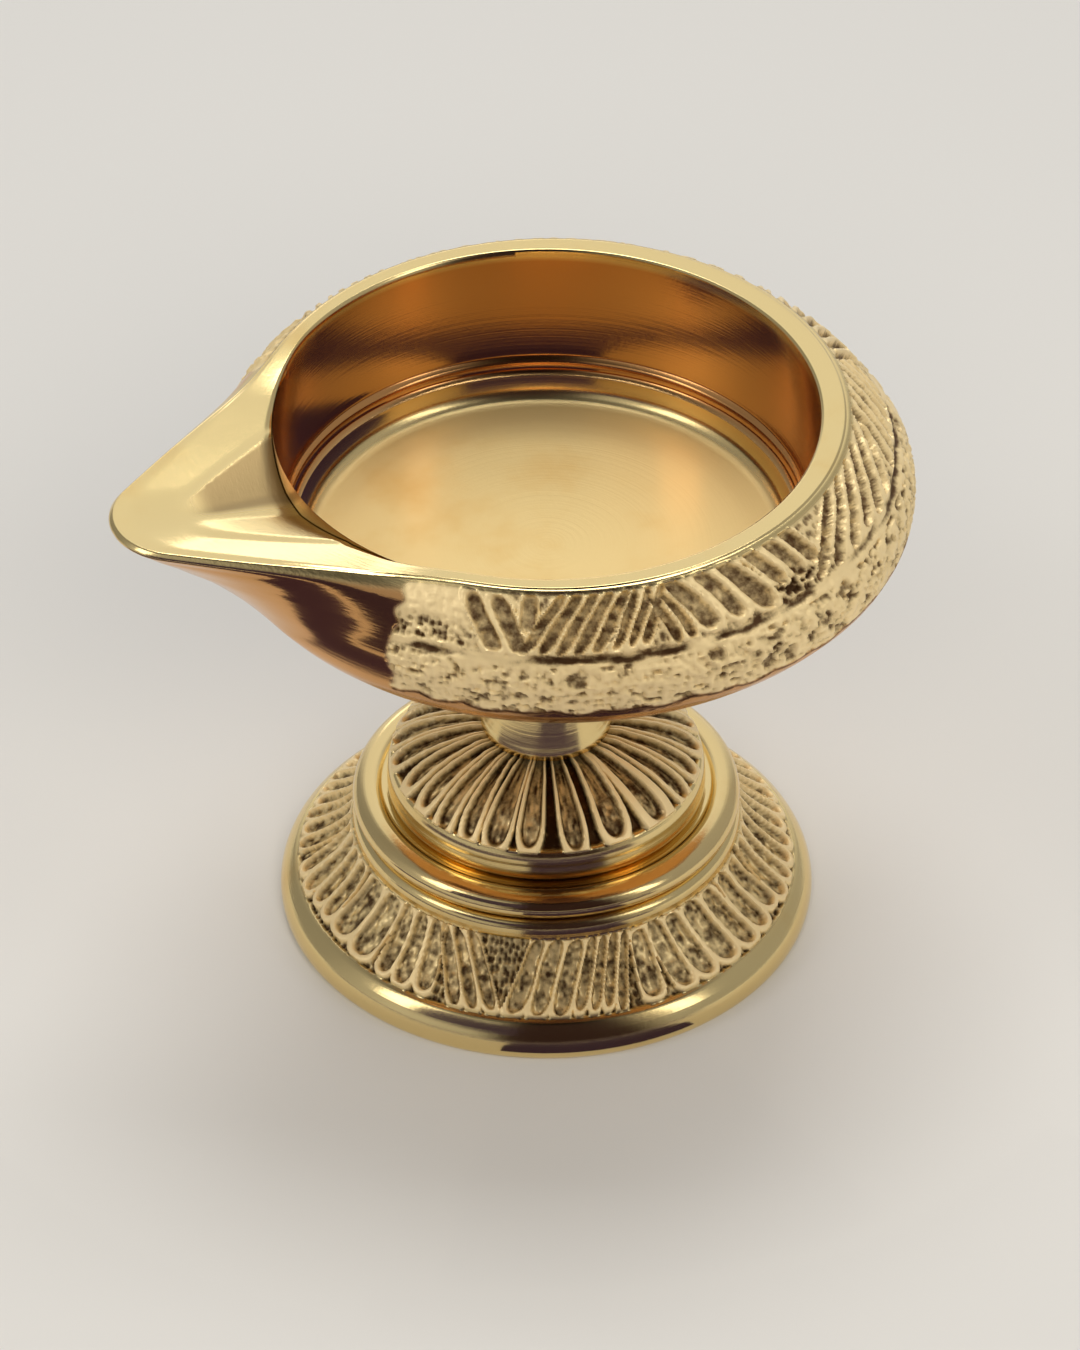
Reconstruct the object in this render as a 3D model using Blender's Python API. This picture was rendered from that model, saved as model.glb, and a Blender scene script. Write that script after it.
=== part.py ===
"""Short brass pedestal oil lamp with one pouring spout for the wick.

A thick cast bowl screws onto a threaded tie stud.  The stud runs down through a turned
neck collar, a fluted dome, a bead ring and a flared foot, and a washer, a spring washer
and a hexagon nut pull the stack together from inside the foot.

Lengths in the constants are millimetres.  The world is in metres, +Z is up, the table
is at z = 0, the spout points along -X, and the turning axis stands at x = AXIS_X.
"""
import math

import bmesh
import bpy

MM = 0.001

# Heights of the seats in the stack, with a thin joint gap between neighbours
GAP = 0.3
RIM_Z = 77.0
BOWL_SEAT_Z = 47.5
NECK_SEAT_Z = 27.5
DOME_SEAT_Z = 17.9
RING_SEAT_Z = 14.8
FOOT_TOP_Z = 14.5
FOOT_WEB = 2.2

# Bowl and spout in plan
WELL_R = 34.0
BELLY_R = 44.0
BELLY_SHIFT = 2.2
SPOUT_REACH = 57.2
SPOUT_WAIST = 0.9
SPOUT_WAIST_DEPTH = 6.0
AXIS_X = (SPOUT_REACH - BELLY_R - BELLY_SHIFT) / 2

# Outside of the bowl, from the rim down: depth, radius, shift of the round part away
# from the spout, reach of the spout, radius of the spout's nose
BOWL_OUTSIDE = (
    (0.0, 36.3, 0.9, 56.6, 8.2),
    (0.8, 37.2, 1.0, SPOUT_REACH, 8.8),
    (3.2, 39.7, 1.2, 55.6, 8.2),
    (6.2, 42.0, 1.5, 51.8, 7.2),
    (6.8, 41.7, 1.6, 51.0, 7.0),
    (7.4, 42.8, 1.7, 50.4, 6.8),
    (9.6, 43.9, 2.0, 47.6, 6.4),
    (12.0, BELLY_R, BELLY_SHIFT, 45.0, 6.0),
    (14.2, 43.5, 2.2, 42.6, 6.0),
)
BOWL_UNDERSIDE = (
    (16.8, 41.4, 2.1),
    (19.8, 37.4, 1.8),
    (22.6, 32.0, 1.4),
    (25.2, 25.0, 1.0),
    (27.3, 17.6, 0.5),
    (28.6, 12.6, 0.1),
    (29.5, 11.2, 0.0),
)
# Inside of the well, from the rim down: depth and radius
WELL_INSIDE = (
    (1.0, 33.9),
    (8.0, 33.4),
    (15.3, 32.9),
    (15.8, 32.3),
    (17.2, 32.1),
    (17.7, 31.6),
    (19.3, 31.1),
    (20.9, 29.4),
)
WELL_DEPTH = 21.0

# Spout: the wick channel and the two flat facets beside it
MOUTH_U = 32.0
CHANNEL_END_U = 50.5
CHANNEL_HALF = 12.0
CHANNEL_DEPTH = 4.4
CHANNEL_END_DEPTH = 1.7
FACET_INNER_DROP = 2.0
FACET_OUTER_DROP = 0.9
FACET_WIDTH = 8.0
ARRIS_DROP = 0.5
CHANNEL_TAPER = 0.85
CHANNEL_ROUND = 1.6
SPOUT_FULL_DEG = 30.0
SPOUT_FADE_DEG = 52.0
RIM_ROWS = (0.2, 0.4, 0.6, 0.82)

# Carved strokes: how far a cut leans inwards for each unit it goes down
CUT_INWARD = 0.5
SHOULDER_CUT = 0.55
SHOULDER_ROWS = (2, 3)
SHOULDER_FANS = 9
SHOULDER_LEAN_DEG = 1.3
CARVE_FROM_DEG = 52.0

# Spigot and tapped hole under the bowl
SPIGOT_R = 6.0
SPIGOT_LENGTH = 4.5
SPIGOT_BORE_R = 4.4
SPIGOT_CHAMFER = 0.4
BORE_SHOULDER = 0.6
HOLE_TOP_Z = 53.4
HOLE_CONE = 0.8

# Tie stud, an M8 coarse thread with generous running clearance
PITCH = 1.25
STUD_CREST_R = 3.9
STUD_ROOT_R = 3.3
STUD_CREST = 0.2
STUD_FLANK = 0.2
STUD_TOP_Z = 53.0
STUD_THREAD_LOW_Z = 46.8
STUD_BOTTOM_Z = 4.3
STUD_THREAD_HIGH_Z = 9.4
TAPPED_BORE_R = 3.55
TAPPED_ROOT_R = 4.15
TAPPED_CREST = 0.44
TAPPED_FLANK = 0.117
THREAD_SIDES = 18
THREAD_ROWS_PER_TURN = 6
THREAD_RUN_OUT = 0.4
CLEARANCE_R = 4.3

# Neck collar, a waisted spool: height above its seat and radius
NECK_OUTSIDE = (
    (0.0, 8.1),
    (0.9, 8.4),
    (2.0, 8.1),
    (4.6, 7.6),
    (8.2, 7.3),
    (12.0, 7.7),
    (15.4, 8.9),
    (17.8, 10.6),
    (19.2, 11.2),
    (19.7, 10.9),
)

# Fluted dome: height above its seat and radius
DOME_OUTSIDE = (
    (0.0, 20.0),
    (0.5, 20.5),
    (2.4, 20.3),
    (3.6, 20.4),
    (4.6, 19.4),
    (6.1, 17.6),
    (7.6, 15.0),
    (8.7, 12.0),
    (9.2, 10.0),
    (9.3, 9.4),
)
DOME_INSIDE = (
    (6.9, CLEARANCE_R),
    (6.6, 8.0),
    (5.2, 13.4),
    (3.2, 16.8),
    (0.0, 18.0),
)
DOME_CUT = 0.75
DOME_FANS = 8
DOME_LEAN_DEG = 2.5
DOME_CUT_ROWS = (4, 5, 6, 7)

# Bead ring: height above its seat and radius
RING_OUTSIDE = (
    (2.8, 20.8),
    (2.8, 21.2),
    (3.2, 22.0),
    (3.1, 23.4),
    (2.4, 24.5),
    (1.5, 24.9),
    (0.6, 24.6),
    (0.0, 23.9),
)
RING_HOLE_R = 14.0
RING_TOP = 2.8

# Flared foot: height and radius
FOOT_OUTSIDE = (
    (FOOT_TOP_Z, 24.0),
    (13.9, 24.8),
    (12.8, 25.3),
    (11.7, 25.0),
    (11.2, 25.2),
    (9.6, 26.6),
    (7.8, 28.6),
    (6.2, 30.8),
    (5.4, 32.0),
    (4.6, 33.2),
    (3.2, 34.1),
    (1.6, 34.5),
    (0.5, 34.3),
    (0.0, 33.9),
)
FOOT_INSIDE = (
    (0.0, 31.4),
    (2.0, 31.4),
    (4.0, 29.8),
    (7.2, 25.8),
    (9.6, 23.2),
    (11.6, 22.2),
    (FOOT_TOP_Z - FOOT_WEB, 21.0),
)
FOOT_CUT = 0.5
FOOT_CUT_ROWS = (5, 6, 7)
FOOT_FANS = 10
FOOT_LEAN_DEG = 3.0

# Fasteners inside the foot
WASHER_R = 8.0
WASHER_THICK = 1.2
WASHER_TOP_Z = FOOT_TOP_Z - FOOT_WEB - GAP
SPRING_R = 6.9
SPRING_BORE_R = 4.4
SPRING_THICK = 1.2
SPRING_SPREAD = 0.2
SPRING_SLOT_DEG = 12.0
SPRING_TOP_Z = WASHER_TOP_Z - WASHER_THICK - GAP
NUT_TOP_Z = SPRING_TOP_Z - SPRING_THICK - SPRING_SPREAD - GAP
NUT_THICK = 4.0
NUT_FLATS_HALF = 6.5
NUT_CHAMFER_R = 6.3
NUT_CHAMFER_DEG = 30.0

# Sides of the round pieces
SPOUT_STEP_DEG = 2.0
ROUND_STEP_DEG = 3.0
SPOUT_SECTOR_DEG = 24.0
LATHE_SIDES = 96
INNER_SIDES = 64
SMALL_SIDES = 36
SMOOTH_ANGLE_DEG = 34.0
SAME_ANGLE_DEG = 0.01

BRASS = (0.76, 0.56, 0.26)
DARK_BRASS = (0.58, 0.40, 0.17)
PALE_BRASS = (0.83, 0.66, 0.36)
STEEL = (0.56, 0.57, 0.58)


def clear_scene():
    """Removes whatever the scene holds before the lamp is made."""
    for thing in list(bpy.data.objects):
        bpy.data.objects.remove(thing, do_unlink=True)


def metal(name, colour, roughness):
    """A plain metal finish for one piece."""
    finish = bpy.data.materials.new(name)
    finish.use_nodes = True
    shader = finish.node_tree.nodes["Principled BSDF"]
    shader.inputs["Base Color"].default_value = (*colour, 1.0)
    shader.inputs["Roughness"].default_value = roughness
    shader.inputs["Metallic"].default_value = 1.0
    finish.diffuse_color = (*colour, 1.0)
    return finish


def blend(low, high, value):
    """Runs smoothly from 0 at low to 1 at high."""
    share = min(1.0, max(0.0, (value - low) / (high - low)))
    return share * share * (3.0 - 2.0 * share)


def even_angles(sides):
    """Angles about the turning axis, in radians, starting at the spout."""
    return [math.tau * side / sides for side in range(sides)]


def bowl_angles():
    """Angles around the bowl, closer together across the spout."""
    degrees = []
    angle = -SPOUT_SECTOR_DEG
    while angle < SPOUT_SECTOR_DEG - SAME_ANGLE_DEG:
        degrees.append(angle)
        angle += SPOUT_STEP_DEG
    while angle < 360.0 - SPOUT_SECTOR_DEG - SAME_ANGLE_DEG:
        degrees.append(angle)
        angle += ROUND_STEP_DEG
    return [math.radians(value) for value in degrees]


def circle(radius, height, sides):
    """A ring of points as (angle, radius, height)."""
    return [(angle, radius, height) for angle in even_angles(sides)]


def join_rings(mesh, first, second):
    """Fills the strip between two rings of (angle, vertex), which may differ in count."""
    if len(first) == 1:
        for index, (_, corner) in enumerate(second):
            mesh.faces.new((first[0][1], second[index - 1][1], corner))
        return
    if len(second) == 1:
        for index, (_, corner) in enumerate(first):
            mesh.faces.new((first[index - 1][1], second[0][1], corner))
        return
    near = 0
    far = 0
    while near < len(first) or far < len(second):
        a = first[near % len(first)][1]
        b = second[far % len(second)][1]
        next_a = first[(near + 1) % len(first)]
        next_b = second[(far + 1) % len(second)]
        angle_a = next_a[0] + (math.tau if near + 1 >= len(first) else 0.0)
        angle_b = next_b[0] + (math.tau if far + 1 >= len(second) else 0.0)
        step_a = near < len(first)
        step_b = far < len(second)
        if step_a and step_b and abs(angle_a - angle_b) < math.radians(SAME_ANGLE_DEG):
            mesh.faces.new((a, b, next_b[1], next_a[1]))
            near += 1
            far += 1
        elif step_a and (not step_b or angle_a < angle_b):
            mesh.faces.new((a, b, next_a[1]))
            near += 1
        else:
            mesh.faces.new((a, b, next_b[1]))
            far += 1


def place(angle, radius, height):
    """A point about the turning axis, with angle 0 towards the spout."""
    return (-radius * math.cos(angle) * MM, -radius * math.sin(angle) * MM, height * MM)


def finish_piece(mesh, name, seat_z, finish, axis):
    """Turns the mesh into a named, smooth-shaded object on the turning axis."""
    bmesh.ops.recalc_face_normals(mesh, faces=mesh.faces)
    data = bpy.data.meshes.new(name)
    mesh.to_mesh(data)
    mesh.free()
    data.materials.append(finish)
    data.shade_smooth()
    data.set_sharp_from_angle(angle=math.radians(SMOOTH_ANGLE_DEG))
    piece = bpy.data.objects.new(name, data)
    bpy.context.scene.collection.objects.link(piece)
    piece.parent = axis
    piece.location = (0.0, 0.0, seat_z * MM)
    return piece


def turned_piece(name, rings, seat_z, finish, axis, ring_shaped):
    """Skins rings of points.  A ring-shaped piece joins its last ring to its first."""
    mesh = bmesh.new()
    built = []
    for ring in rings:
        corners = []
        for angle, radius, height in ring:
            corners.append((angle, mesh.verts.new(place(angle, radius, height - seat_z))))
        built.append(corners)
    for first, second in zip(built, built[1:]):
        join_rings(mesh, first, second)
    if ring_shaped:
        join_rings(mesh, built[-1], built[0])
    return finish_piece(mesh, name, seat_z, finish, axis)


def thread_share(height, angle, crest, flank):
    """How far the thread stands out here, from 0 at the root to 1 at the crest."""
    turns = height / PITCH - angle / math.tau
    offset = abs(turns - round(turns))
    if offset <= crest / 2:
        return 1.0
    return max(0.0, 1.0 - (offset - crest / 2) / flank)


def thread_rings(low, high, inner, outer, crest, flank, end_share):
    """Rings of one right-handed thread, from its low end up to its high end.  At both
    ends it runs out to end_share: 0 on a stud, and 1 in a countersunk hole."""
    rows = round((high - low) / PITCH * THREAD_ROWS_PER_TURN)
    rings = []
    for row in range(rows + 1):
        height = low + (high - low) * row / rows
        from_end = min(height - low, high - height)
        run_out = min(1.0, from_end / THREAD_RUN_OUT)
        ring = []
        for angle in even_angles(THREAD_SIDES):
            share = thread_share(height, angle, crest, flank)
            share = end_share + (share - end_share) * run_out
            ring.append((angle, inner + (outer - inner) * share, height))
        rings.append(ring)
    return rings


def outline_radius(angle, radius, shift, reach, nose, waist):
    """Distance from the axis to a round body drawn out into a rounded spout, with the
    spout's sides hollowed by waist."""
    angle = abs(math.remainder(angle, math.tau))
    spread = reach - nose + shift
    if spread <= radius - nose:
        across = shift * math.sin(angle)
        return -shift * math.cos(angle) + math.sqrt(radius * radius - across * across)
    lean = math.acos((radius - nose) / spread)
    body_u = radius * math.cos(lean) - shift
    body_v = radius * math.sin(lean)
    nose_centre = reach - nose
    nose_u = nose_centre + nose * math.cos(lean)
    nose_v = nose * math.sin(lean)
    if angle <= math.atan2(nose_v, nose_u):
        across = nose_centre * math.sin(angle)
        return nose_centre * math.cos(angle) + math.sqrt(nose * nose - across * across)
    nose_end = math.atan2(nose_v, nose_u)
    body_start = math.atan2(body_v, body_u)
    if angle <= body_start:
        support = radius - shift * math.cos(lean)
        share = (angle - nose_end) / (body_start - nose_end)
        return support / math.cos(angle - lean) - waist * math.sin(math.pi * share) ** 2
    across = shift * math.sin(angle)
    return -shift * math.cos(angle) + math.sqrt(radius * radius - across * across)


def rim_outer(angle):
    """Distance from the axis to the outer edge of the rim's top."""
    _, radius, shift, reach, nose = BOWL_OUTSIDE[0]
    return outline_radius(angle, radius, shift, reach, nose, SPOUT_WAIST)


def spout_share(angle):
    """1 across the spout, fading to 0 where the round rim begins."""
    degrees = abs(math.degrees(math.remainder(angle, math.tau)))
    return 1.0 - blend(SPOUT_FULL_DEG, SPOUT_FADE_DEG, degrees)


def rim_drop(angle, radius, outer):
    """Depth of the rim's top below the rim plane: level round the bowl, hollowed into
    two facets and the wick channel on the spout."""
    share = spout_share(angle)
    if share == 0.0:
        return 0.0
    along = radius * math.cos(angle)
    across = abs(radius * math.sin(angle))
    run = min(1.0, max(0.0, (along - MOUTH_U) / (CHANNEL_END_U - MOUTH_U)))
    half = CHANNEL_HALF * (1.0 - run) ** CHANNEL_TAPER
    if across < half:
        floor_depth = CHANNEL_DEPTH + (CHANNEL_END_DEPTH - CHANNEL_DEPTH) * run
        slope = (across / half) ** CHANNEL_ROUND
        return share * (floor_depth + (FACET_INNER_DROP - floor_depth) * slope)
    near_edge = min(1.0, max(0.0, (outer - radius) / FACET_WIDTH))
    return share * (FACET_OUTER_DROP + (FACET_INNER_DROP - FACET_OUTER_DROP) * near_edge)


def stroke(column):
    """0 on a ridge and 1 in the cut beside it."""
    return column % 2


def carved(angle, fans, lean_deg, share):
    """Leans the strokes one way and then the other, fan by fan."""
    return angle + math.radians(lean_deg) * math.sin(fans * angle) * share


def bowl_outside_rings():
    """Rings down the outside of the bowl, from the rim's outer edge to the belly."""
    rings = []
    angles = bowl_angles()
    for row, (depth, radius, shift, reach, nose) in enumerate(BOWL_OUTSIDE):
        ring = []
        for column, angle in enumerate(angles):
            waist = SPOUT_WAIST * max(0.0, 1.0 - depth / SPOUT_WAIST_DEPTH)
            reach_here = outline_radius(angle, radius, shift, reach, nose, waist)
            drop = depth
            if row == 0:
                drop += FACET_OUTER_DROP * spout_share(angle)
            if row == 1:
                drop += ARRIS_DROP * spout_share(angle)
            plain = abs(math.remainder(angle, math.tau)) < math.radians(CARVE_FROM_DEG)
            if row in SHOULDER_ROWS and not plain:
                reach_here -= SHOULDER_CUT * stroke(column)
                lean = row - SHOULDER_ROWS[0]
                angle = carved(angle, SHOULDER_FANS, SHOULDER_LEAN_DEG, lean)
            ring.append((angle, reach_here, RIM_Z - drop))
        rings.append(ring)
    return rings


def make_bowl(axis):
    """The cast bowl: well, spout, belly, spigot and the tapped hole for the stud."""
    mouth = []
    for angle in bowl_angles():
        drop = rim_drop(angle, WELL_R, rim_outer(angle))
        mouth.append((angle, WELL_R, RIM_Z - drop))
    shelves = []
    for share in RIM_ROWS:
        shelf = []
        for angle in bowl_angles():
            outer = rim_outer(angle)
            radius = WELL_R + (outer - WELL_R) * share
            shelf.append((angle, radius, RIM_Z - rim_drop(angle, radius, outer)))
        shelves.append(shelf)
    rings = [[(0.0, 0.0, RIM_Z - WELL_DEPTH)]]
    for depth, radius in reversed(WELL_INSIDE[1:]):
        rings.append(circle(radius, RIM_Z - depth, INNER_SIDES))
    lip_depth, lip_r = WELL_INSIDE[0]
    lip = []
    for angle, _, height in mouth:
        lip.append((angle, lip_r, height - lip_depth))
    rings.append(lip)
    rings.append(mouth)
    rings.extend(shelves)
    rings.extend(bowl_outside_rings())
    for depth, radius, shift in BOWL_UNDERSIDE:
        ring = []
        for angle in even_angles(INNER_SIDES):
            here = outline_radius(angle, radius, shift, radius - shift, 0.0, 0.0)
            ring.append((angle, here, RIM_Z - depth))
        rings.append(ring)
    spigot_z = BOWL_SEAT_Z - SPIGOT_LENGTH
    rings.append(circle(SPIGOT_R, BOWL_SEAT_Z, SMALL_SIDES))
    rings.append(circle(SPIGOT_R, spigot_z + SPIGOT_CHAMFER, SMALL_SIDES))
    rings.append(circle(SPIGOT_R - SPIGOT_CHAMFER, spigot_z, SMALL_SIDES))
    rings.append(circle(SPIGOT_BORE_R, spigot_z, SMALL_SIDES))
    rings.append(circle(SPIGOT_BORE_R, BOWL_SEAT_Z - BORE_SHOULDER, SMALL_SIDES))
    rings.extend(
        thread_rings(
            BOWL_SEAT_Z, HOLE_TOP_Z, TAPPED_BORE_R, TAPPED_ROOT_R, TAPPED_CREST, TAPPED_FLANK, 1.0
        )
    )
    rings.append([(0.0, 0.0, HOLE_TOP_Z + HOLE_CONE)])
    finish = metal("cast_brass", BRASS, 0.28)
    return turned_piece("oil_bowl", rings, BOWL_SEAT_Z, finish, axis, False)


def make_stud(axis):
    """The tie stud, threaded at both ends and plain in between."""
    rings = [[(0.0, 0.0, STUD_BOTTOM_Z)]]
    rings.extend(
        thread_rings(
            STUD_BOTTOM_Z, STUD_THREAD_HIGH_Z, STUD_ROOT_R, STUD_CREST_R, STUD_CREST, STUD_FLANK, 0.0
        )
    )
    rings.extend(
        thread_rings(
            STUD_THREAD_LOW_Z, STUD_TOP_Z, STUD_ROOT_R, STUD_CREST_R, STUD_CREST, STUD_FLANK, 0.0
        )
    )
    rings.append([(0.0, 0.0, STUD_TOP_Z)])
    finish = metal("drawn_brass", DARK_BRASS, 0.35)
    return turned_piece("tie_stud", rings, STUD_BOTTOM_Z, finish, axis, False)


def make_neck(axis):
    """The waisted neck collar, counterbored at the top for the bowl's spigot."""
    rings = []
    for height, radius in NECK_OUTSIDE:
        rings.append(circle(radius, NECK_SEAT_Z + height, SMALL_SIDES))
    top = NECK_SEAT_Z + NECK_OUTSIDE[-1][0]
    shelf = BOWL_SEAT_Z - SPIGOT_LENGTH - GAP
    rings.append(circle(SPIGOT_R + GAP, top, SMALL_SIDES))
    rings.append(circle(SPIGOT_R + GAP, shelf, SMALL_SIDES))
    rings.append(circle(CLEARANCE_R, shelf, SMALL_SIDES))
    rings.append(circle(CLEARANCE_R, NECK_SEAT_Z, SMALL_SIDES))
    finish = metal("turned_brass", PALE_BRASS, 0.2)
    return turned_piece("neck_collar", rings, NECK_SEAT_Z, finish, axis, True)


def make_dome(axis):
    """The hollow dome with flutes cut down its crown in fans."""
    rings = []
    last = len(DOME_OUTSIDE) - 1
    for row, (height, radius) in enumerate(DOME_OUTSIDE):
        ring = []
        for column, angle in enumerate(even_angles(LATHE_SIDES)):
            drop = 0.0
            if row in DOME_CUT_ROWS:
                drop = DOME_CUT * stroke(column)
                angle = carved(angle, DOME_FANS, DOME_LEAN_DEG, (last - row) / last)
            inner = radius - CUT_INWARD * drop
            ring.append((angle, inner, DOME_SEAT_Z + height - drop))
        rings.append(ring)
    top = DOME_SEAT_Z + DOME_OUTSIDE[-1][0]
    rings.append(circle(CLEARANCE_R, top, SMALL_SIDES))
    for height, radius in DOME_INSIDE:
        rings.append(circle(radius, DOME_SEAT_Z + height, SMALL_SIDES))
    finish = metal("engraved_brass", BRASS, 0.3)
    return turned_piece("pedestal_dome", rings, DOME_SEAT_Z, finish, axis, True)


def make_ring(axis):
    """The bright bead ring between the dome and the foot."""
    rings = []
    for height, radius in RING_OUTSIDE:
        rings.append(circle(radius, RING_SEAT_Z + height, INNER_SIDES))
    rings.append(circle(RING_HOLE_R, RING_SEAT_Z, INNER_SIDES))
    rings.append(circle(RING_HOLE_R, RING_SEAT_Z + RING_TOP, INNER_SIDES))
    finish = metal("polished_brass", PALE_BRASS, 0.15)
    return turned_piece("bead_ring", rings, RING_SEAT_Z, finish, axis, True)


def make_foot(axis):
    """The hollow flared foot, carved on its flange, with the web the nut pulls against."""
    rings = []
    for row, (height, radius) in enumerate(FOOT_OUTSIDE):
        ring = []
        for column, angle in enumerate(even_angles(LATHE_SIDES)):
            drop = 0.0
            if row in FOOT_CUT_ROWS:
                drop = FOOT_CUT * stroke(column)
                share = (row - FOOT_CUT_ROWS[0]) / len(FOOT_CUT_ROWS)
                angle = carved(angle, FOOT_FANS, FOOT_LEAN_DEG, share)
            ring.append((angle, radius - CUT_INWARD * drop, height - drop))
        rings.append(ring)
    for height, radius in FOOT_INSIDE:
        rings.append(circle(radius, height, INNER_SIDES))
    rings.append(circle(CLEARANCE_R, FOOT_TOP_Z - FOOT_WEB, SMALL_SIDES))
    rings.append(circle(CLEARANCE_R, FOOT_TOP_Z, SMALL_SIDES))
    finish = metal("foot_brass", BRASS, 0.3)
    return turned_piece("pedestal_foot", rings, 0.0, finish, axis, True)


def make_washer(axis):
    """The flat washer under the foot's web."""
    low = WASHER_TOP_Z - WASHER_THICK
    rings = [
        circle(CLEARANCE_R, WASHER_TOP_Z, SMALL_SIDES),
        circle(WASHER_R, WASHER_TOP_Z, SMALL_SIDES),
        circle(WASHER_R, low, SMALL_SIDES),
        circle(CLEARANCE_R, low, SMALL_SIDES),
    ]
    finish = metal("washer_brass", DARK_BRASS, 0.4)
    return turned_piece("flat_washer", rings, low, finish, axis, True)


def make_spring_washer(axis):
    """The split spring washer, its ends slightly apart in height."""
    seat = SPRING_TOP_Z - SPRING_THICK - SPRING_SPREAD
    mesh = bmesh.new()
    sections = []
    slot = math.radians(SPRING_SLOT_DEG)
    for step in range(SMALL_SIDES + 1):
        share = step / SMALL_SIDES
        angle = slot / 2 + (math.tau - slot) * share
        low = SPRING_SPREAD * share
        high = low + SPRING_THICK
        corners = ((SPRING_BORE_R, low), (SPRING_R, low), (SPRING_R, high), (SPRING_BORE_R, high))
        section = []
        for radius, height in corners:
            section.append(mesh.verts.new(place(angle, radius, height)))
        sections.append(section)
    for near, far in zip(sections, sections[1:]):
        for side in range(4):
            mesh.faces.new((near[side], near[side - 1], far[side - 1], far[side]))
    mesh.faces.new(sections[0])
    mesh.faces.new(reversed(sections[-1]))
    return finish_piece(mesh, "spring_washer", seat, metal("spring_steel", STEEL, 0.35), axis)


def hexagon_radius(angle):
    """Distance from the nut's axis to its flats at this angle."""
    sixth = math.tau / 6
    from_flat = math.remainder(angle, sixth)
    return NUT_FLATS_HALF / math.cos(from_flat)


def make_nut(axis):
    """The hexagon nut, chamfered top and bottom and threaded through."""
    low = NUT_TOP_Z - NUT_THICK
    chamfer = math.tan(math.radians(NUT_CHAMFER_DEG))
    upper = []
    lower = []
    for angle in even_angles(SMALL_SIDES):
        radius = hexagon_radius(angle)
        fall = (radius - NUT_CHAMFER_R) * chamfer
        upper.append((angle, radius, NUT_TOP_Z - fall))
        lower.append((angle, radius, low + fall))
    rings = [
        circle(NUT_CHAMFER_R, NUT_TOP_Z, SMALL_SIDES),
        upper,
        lower,
        circle(NUT_CHAMFER_R, low, SMALL_SIDES),
    ]
    rings.extend(
        thread_rings(low, NUT_TOP_Z, TAPPED_BORE_R, TAPPED_ROOT_R, TAPPED_CREST, TAPPED_FLANK, 1.0)
    )
    return turned_piece("hex_nut", rings, low, metal("nut_brass", DARK_BRASS, 0.35), axis, True)


def main():
    clear_scene()
    axis = bpy.data.objects.new("turning_axis", None)
    bpy.context.scene.collection.objects.link(axis)
    axis.location = (AXIS_X * MM, 0.0, 0.0)
    make_foot(axis)
    make_ring(axis)
    make_dome(axis)
    make_stud(axis)
    make_neck(axis)
    make_bowl(axis)
    make_washer(axis)
    make_spring_washer(axis)
    make_nut(axis)


main()
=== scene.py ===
"""Looks of the short brass pedestal oil lamp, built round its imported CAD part.

Every visible piece is a dense closed skin of rings about the turning axis.  The carved
bands are real relief: fans of gouge strokes, a punched ground and a scalloped edge.
Lengths are millimetres until a piece is made; angle 0 points to the spout (-X) and
angles grow towards the near side (-Y).
"""
import math

import bpy
import numpy as np
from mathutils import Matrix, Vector


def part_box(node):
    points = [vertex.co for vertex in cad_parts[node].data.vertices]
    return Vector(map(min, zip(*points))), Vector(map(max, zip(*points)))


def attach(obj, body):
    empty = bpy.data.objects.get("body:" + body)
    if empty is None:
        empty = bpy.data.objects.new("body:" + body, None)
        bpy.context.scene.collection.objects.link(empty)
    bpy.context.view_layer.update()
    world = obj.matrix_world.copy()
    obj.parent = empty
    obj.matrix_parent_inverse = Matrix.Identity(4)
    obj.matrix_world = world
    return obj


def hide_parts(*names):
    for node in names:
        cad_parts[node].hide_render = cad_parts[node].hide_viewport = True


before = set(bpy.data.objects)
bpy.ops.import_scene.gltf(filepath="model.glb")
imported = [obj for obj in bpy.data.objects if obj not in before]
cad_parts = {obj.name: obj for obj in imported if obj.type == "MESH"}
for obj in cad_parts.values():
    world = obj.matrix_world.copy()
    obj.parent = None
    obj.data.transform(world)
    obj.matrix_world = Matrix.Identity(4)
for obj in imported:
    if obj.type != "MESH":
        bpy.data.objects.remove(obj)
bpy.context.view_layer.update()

MM = 0.001
TAU = math.tau

# Where the CAD pieces stand: the turning axis, the rim, the spout's end and each seat
STUD_LOW, STUD_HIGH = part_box("tie_stud")
BOWL_LOW, BOWL_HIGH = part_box("oil_bowl")
NECK_LOW, NECK_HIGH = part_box("neck_collar")
DOME_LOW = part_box("pedestal_dome")[0]
RING_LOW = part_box("bead_ring")[0]
AXIS_X = (STUD_LOW.x + STUD_HIGH.x) / 2 / MM
RIM_Z = BOWL_HIGH.z / MM
SPOUT_END = AXIS_X - BOWL_LOW.x / MM
SPIGOT_Z = BOWL_LOW.z / MM
NECK_Z = NECK_LOW.z / MM
NECK_TOP_Z = NECK_HIGH.z / MM
DOME_Z = DOME_LOW.z / MM
RING_Z = RING_LOW.z / MM

# Points in a ring, from the carved bowl and foot down to bores and threads
FINE_SIDES = 960
DOME_SIDES = 720
PLAIN_SIDES = 480
RING_SIDES = 360
WELL_SIDES = 240
NECK_SIDES = 240
INNER_SIDES = 120
BORE_SIDES = 60

# Hole for the tie stud through the neck, the dome and the foot
CLEARANCE_R = 4.3

# ---------------------------------------------------------------- numbers and noise


def smoothstep(low, high, value):
    """0 below low, 1 above high and a smooth rise between; low above high turns it round."""
    share = np.clip((value - low) / (high - low), 0.0, 1.0)
    return share * share * (3.0 - 2.0 * share)


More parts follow.
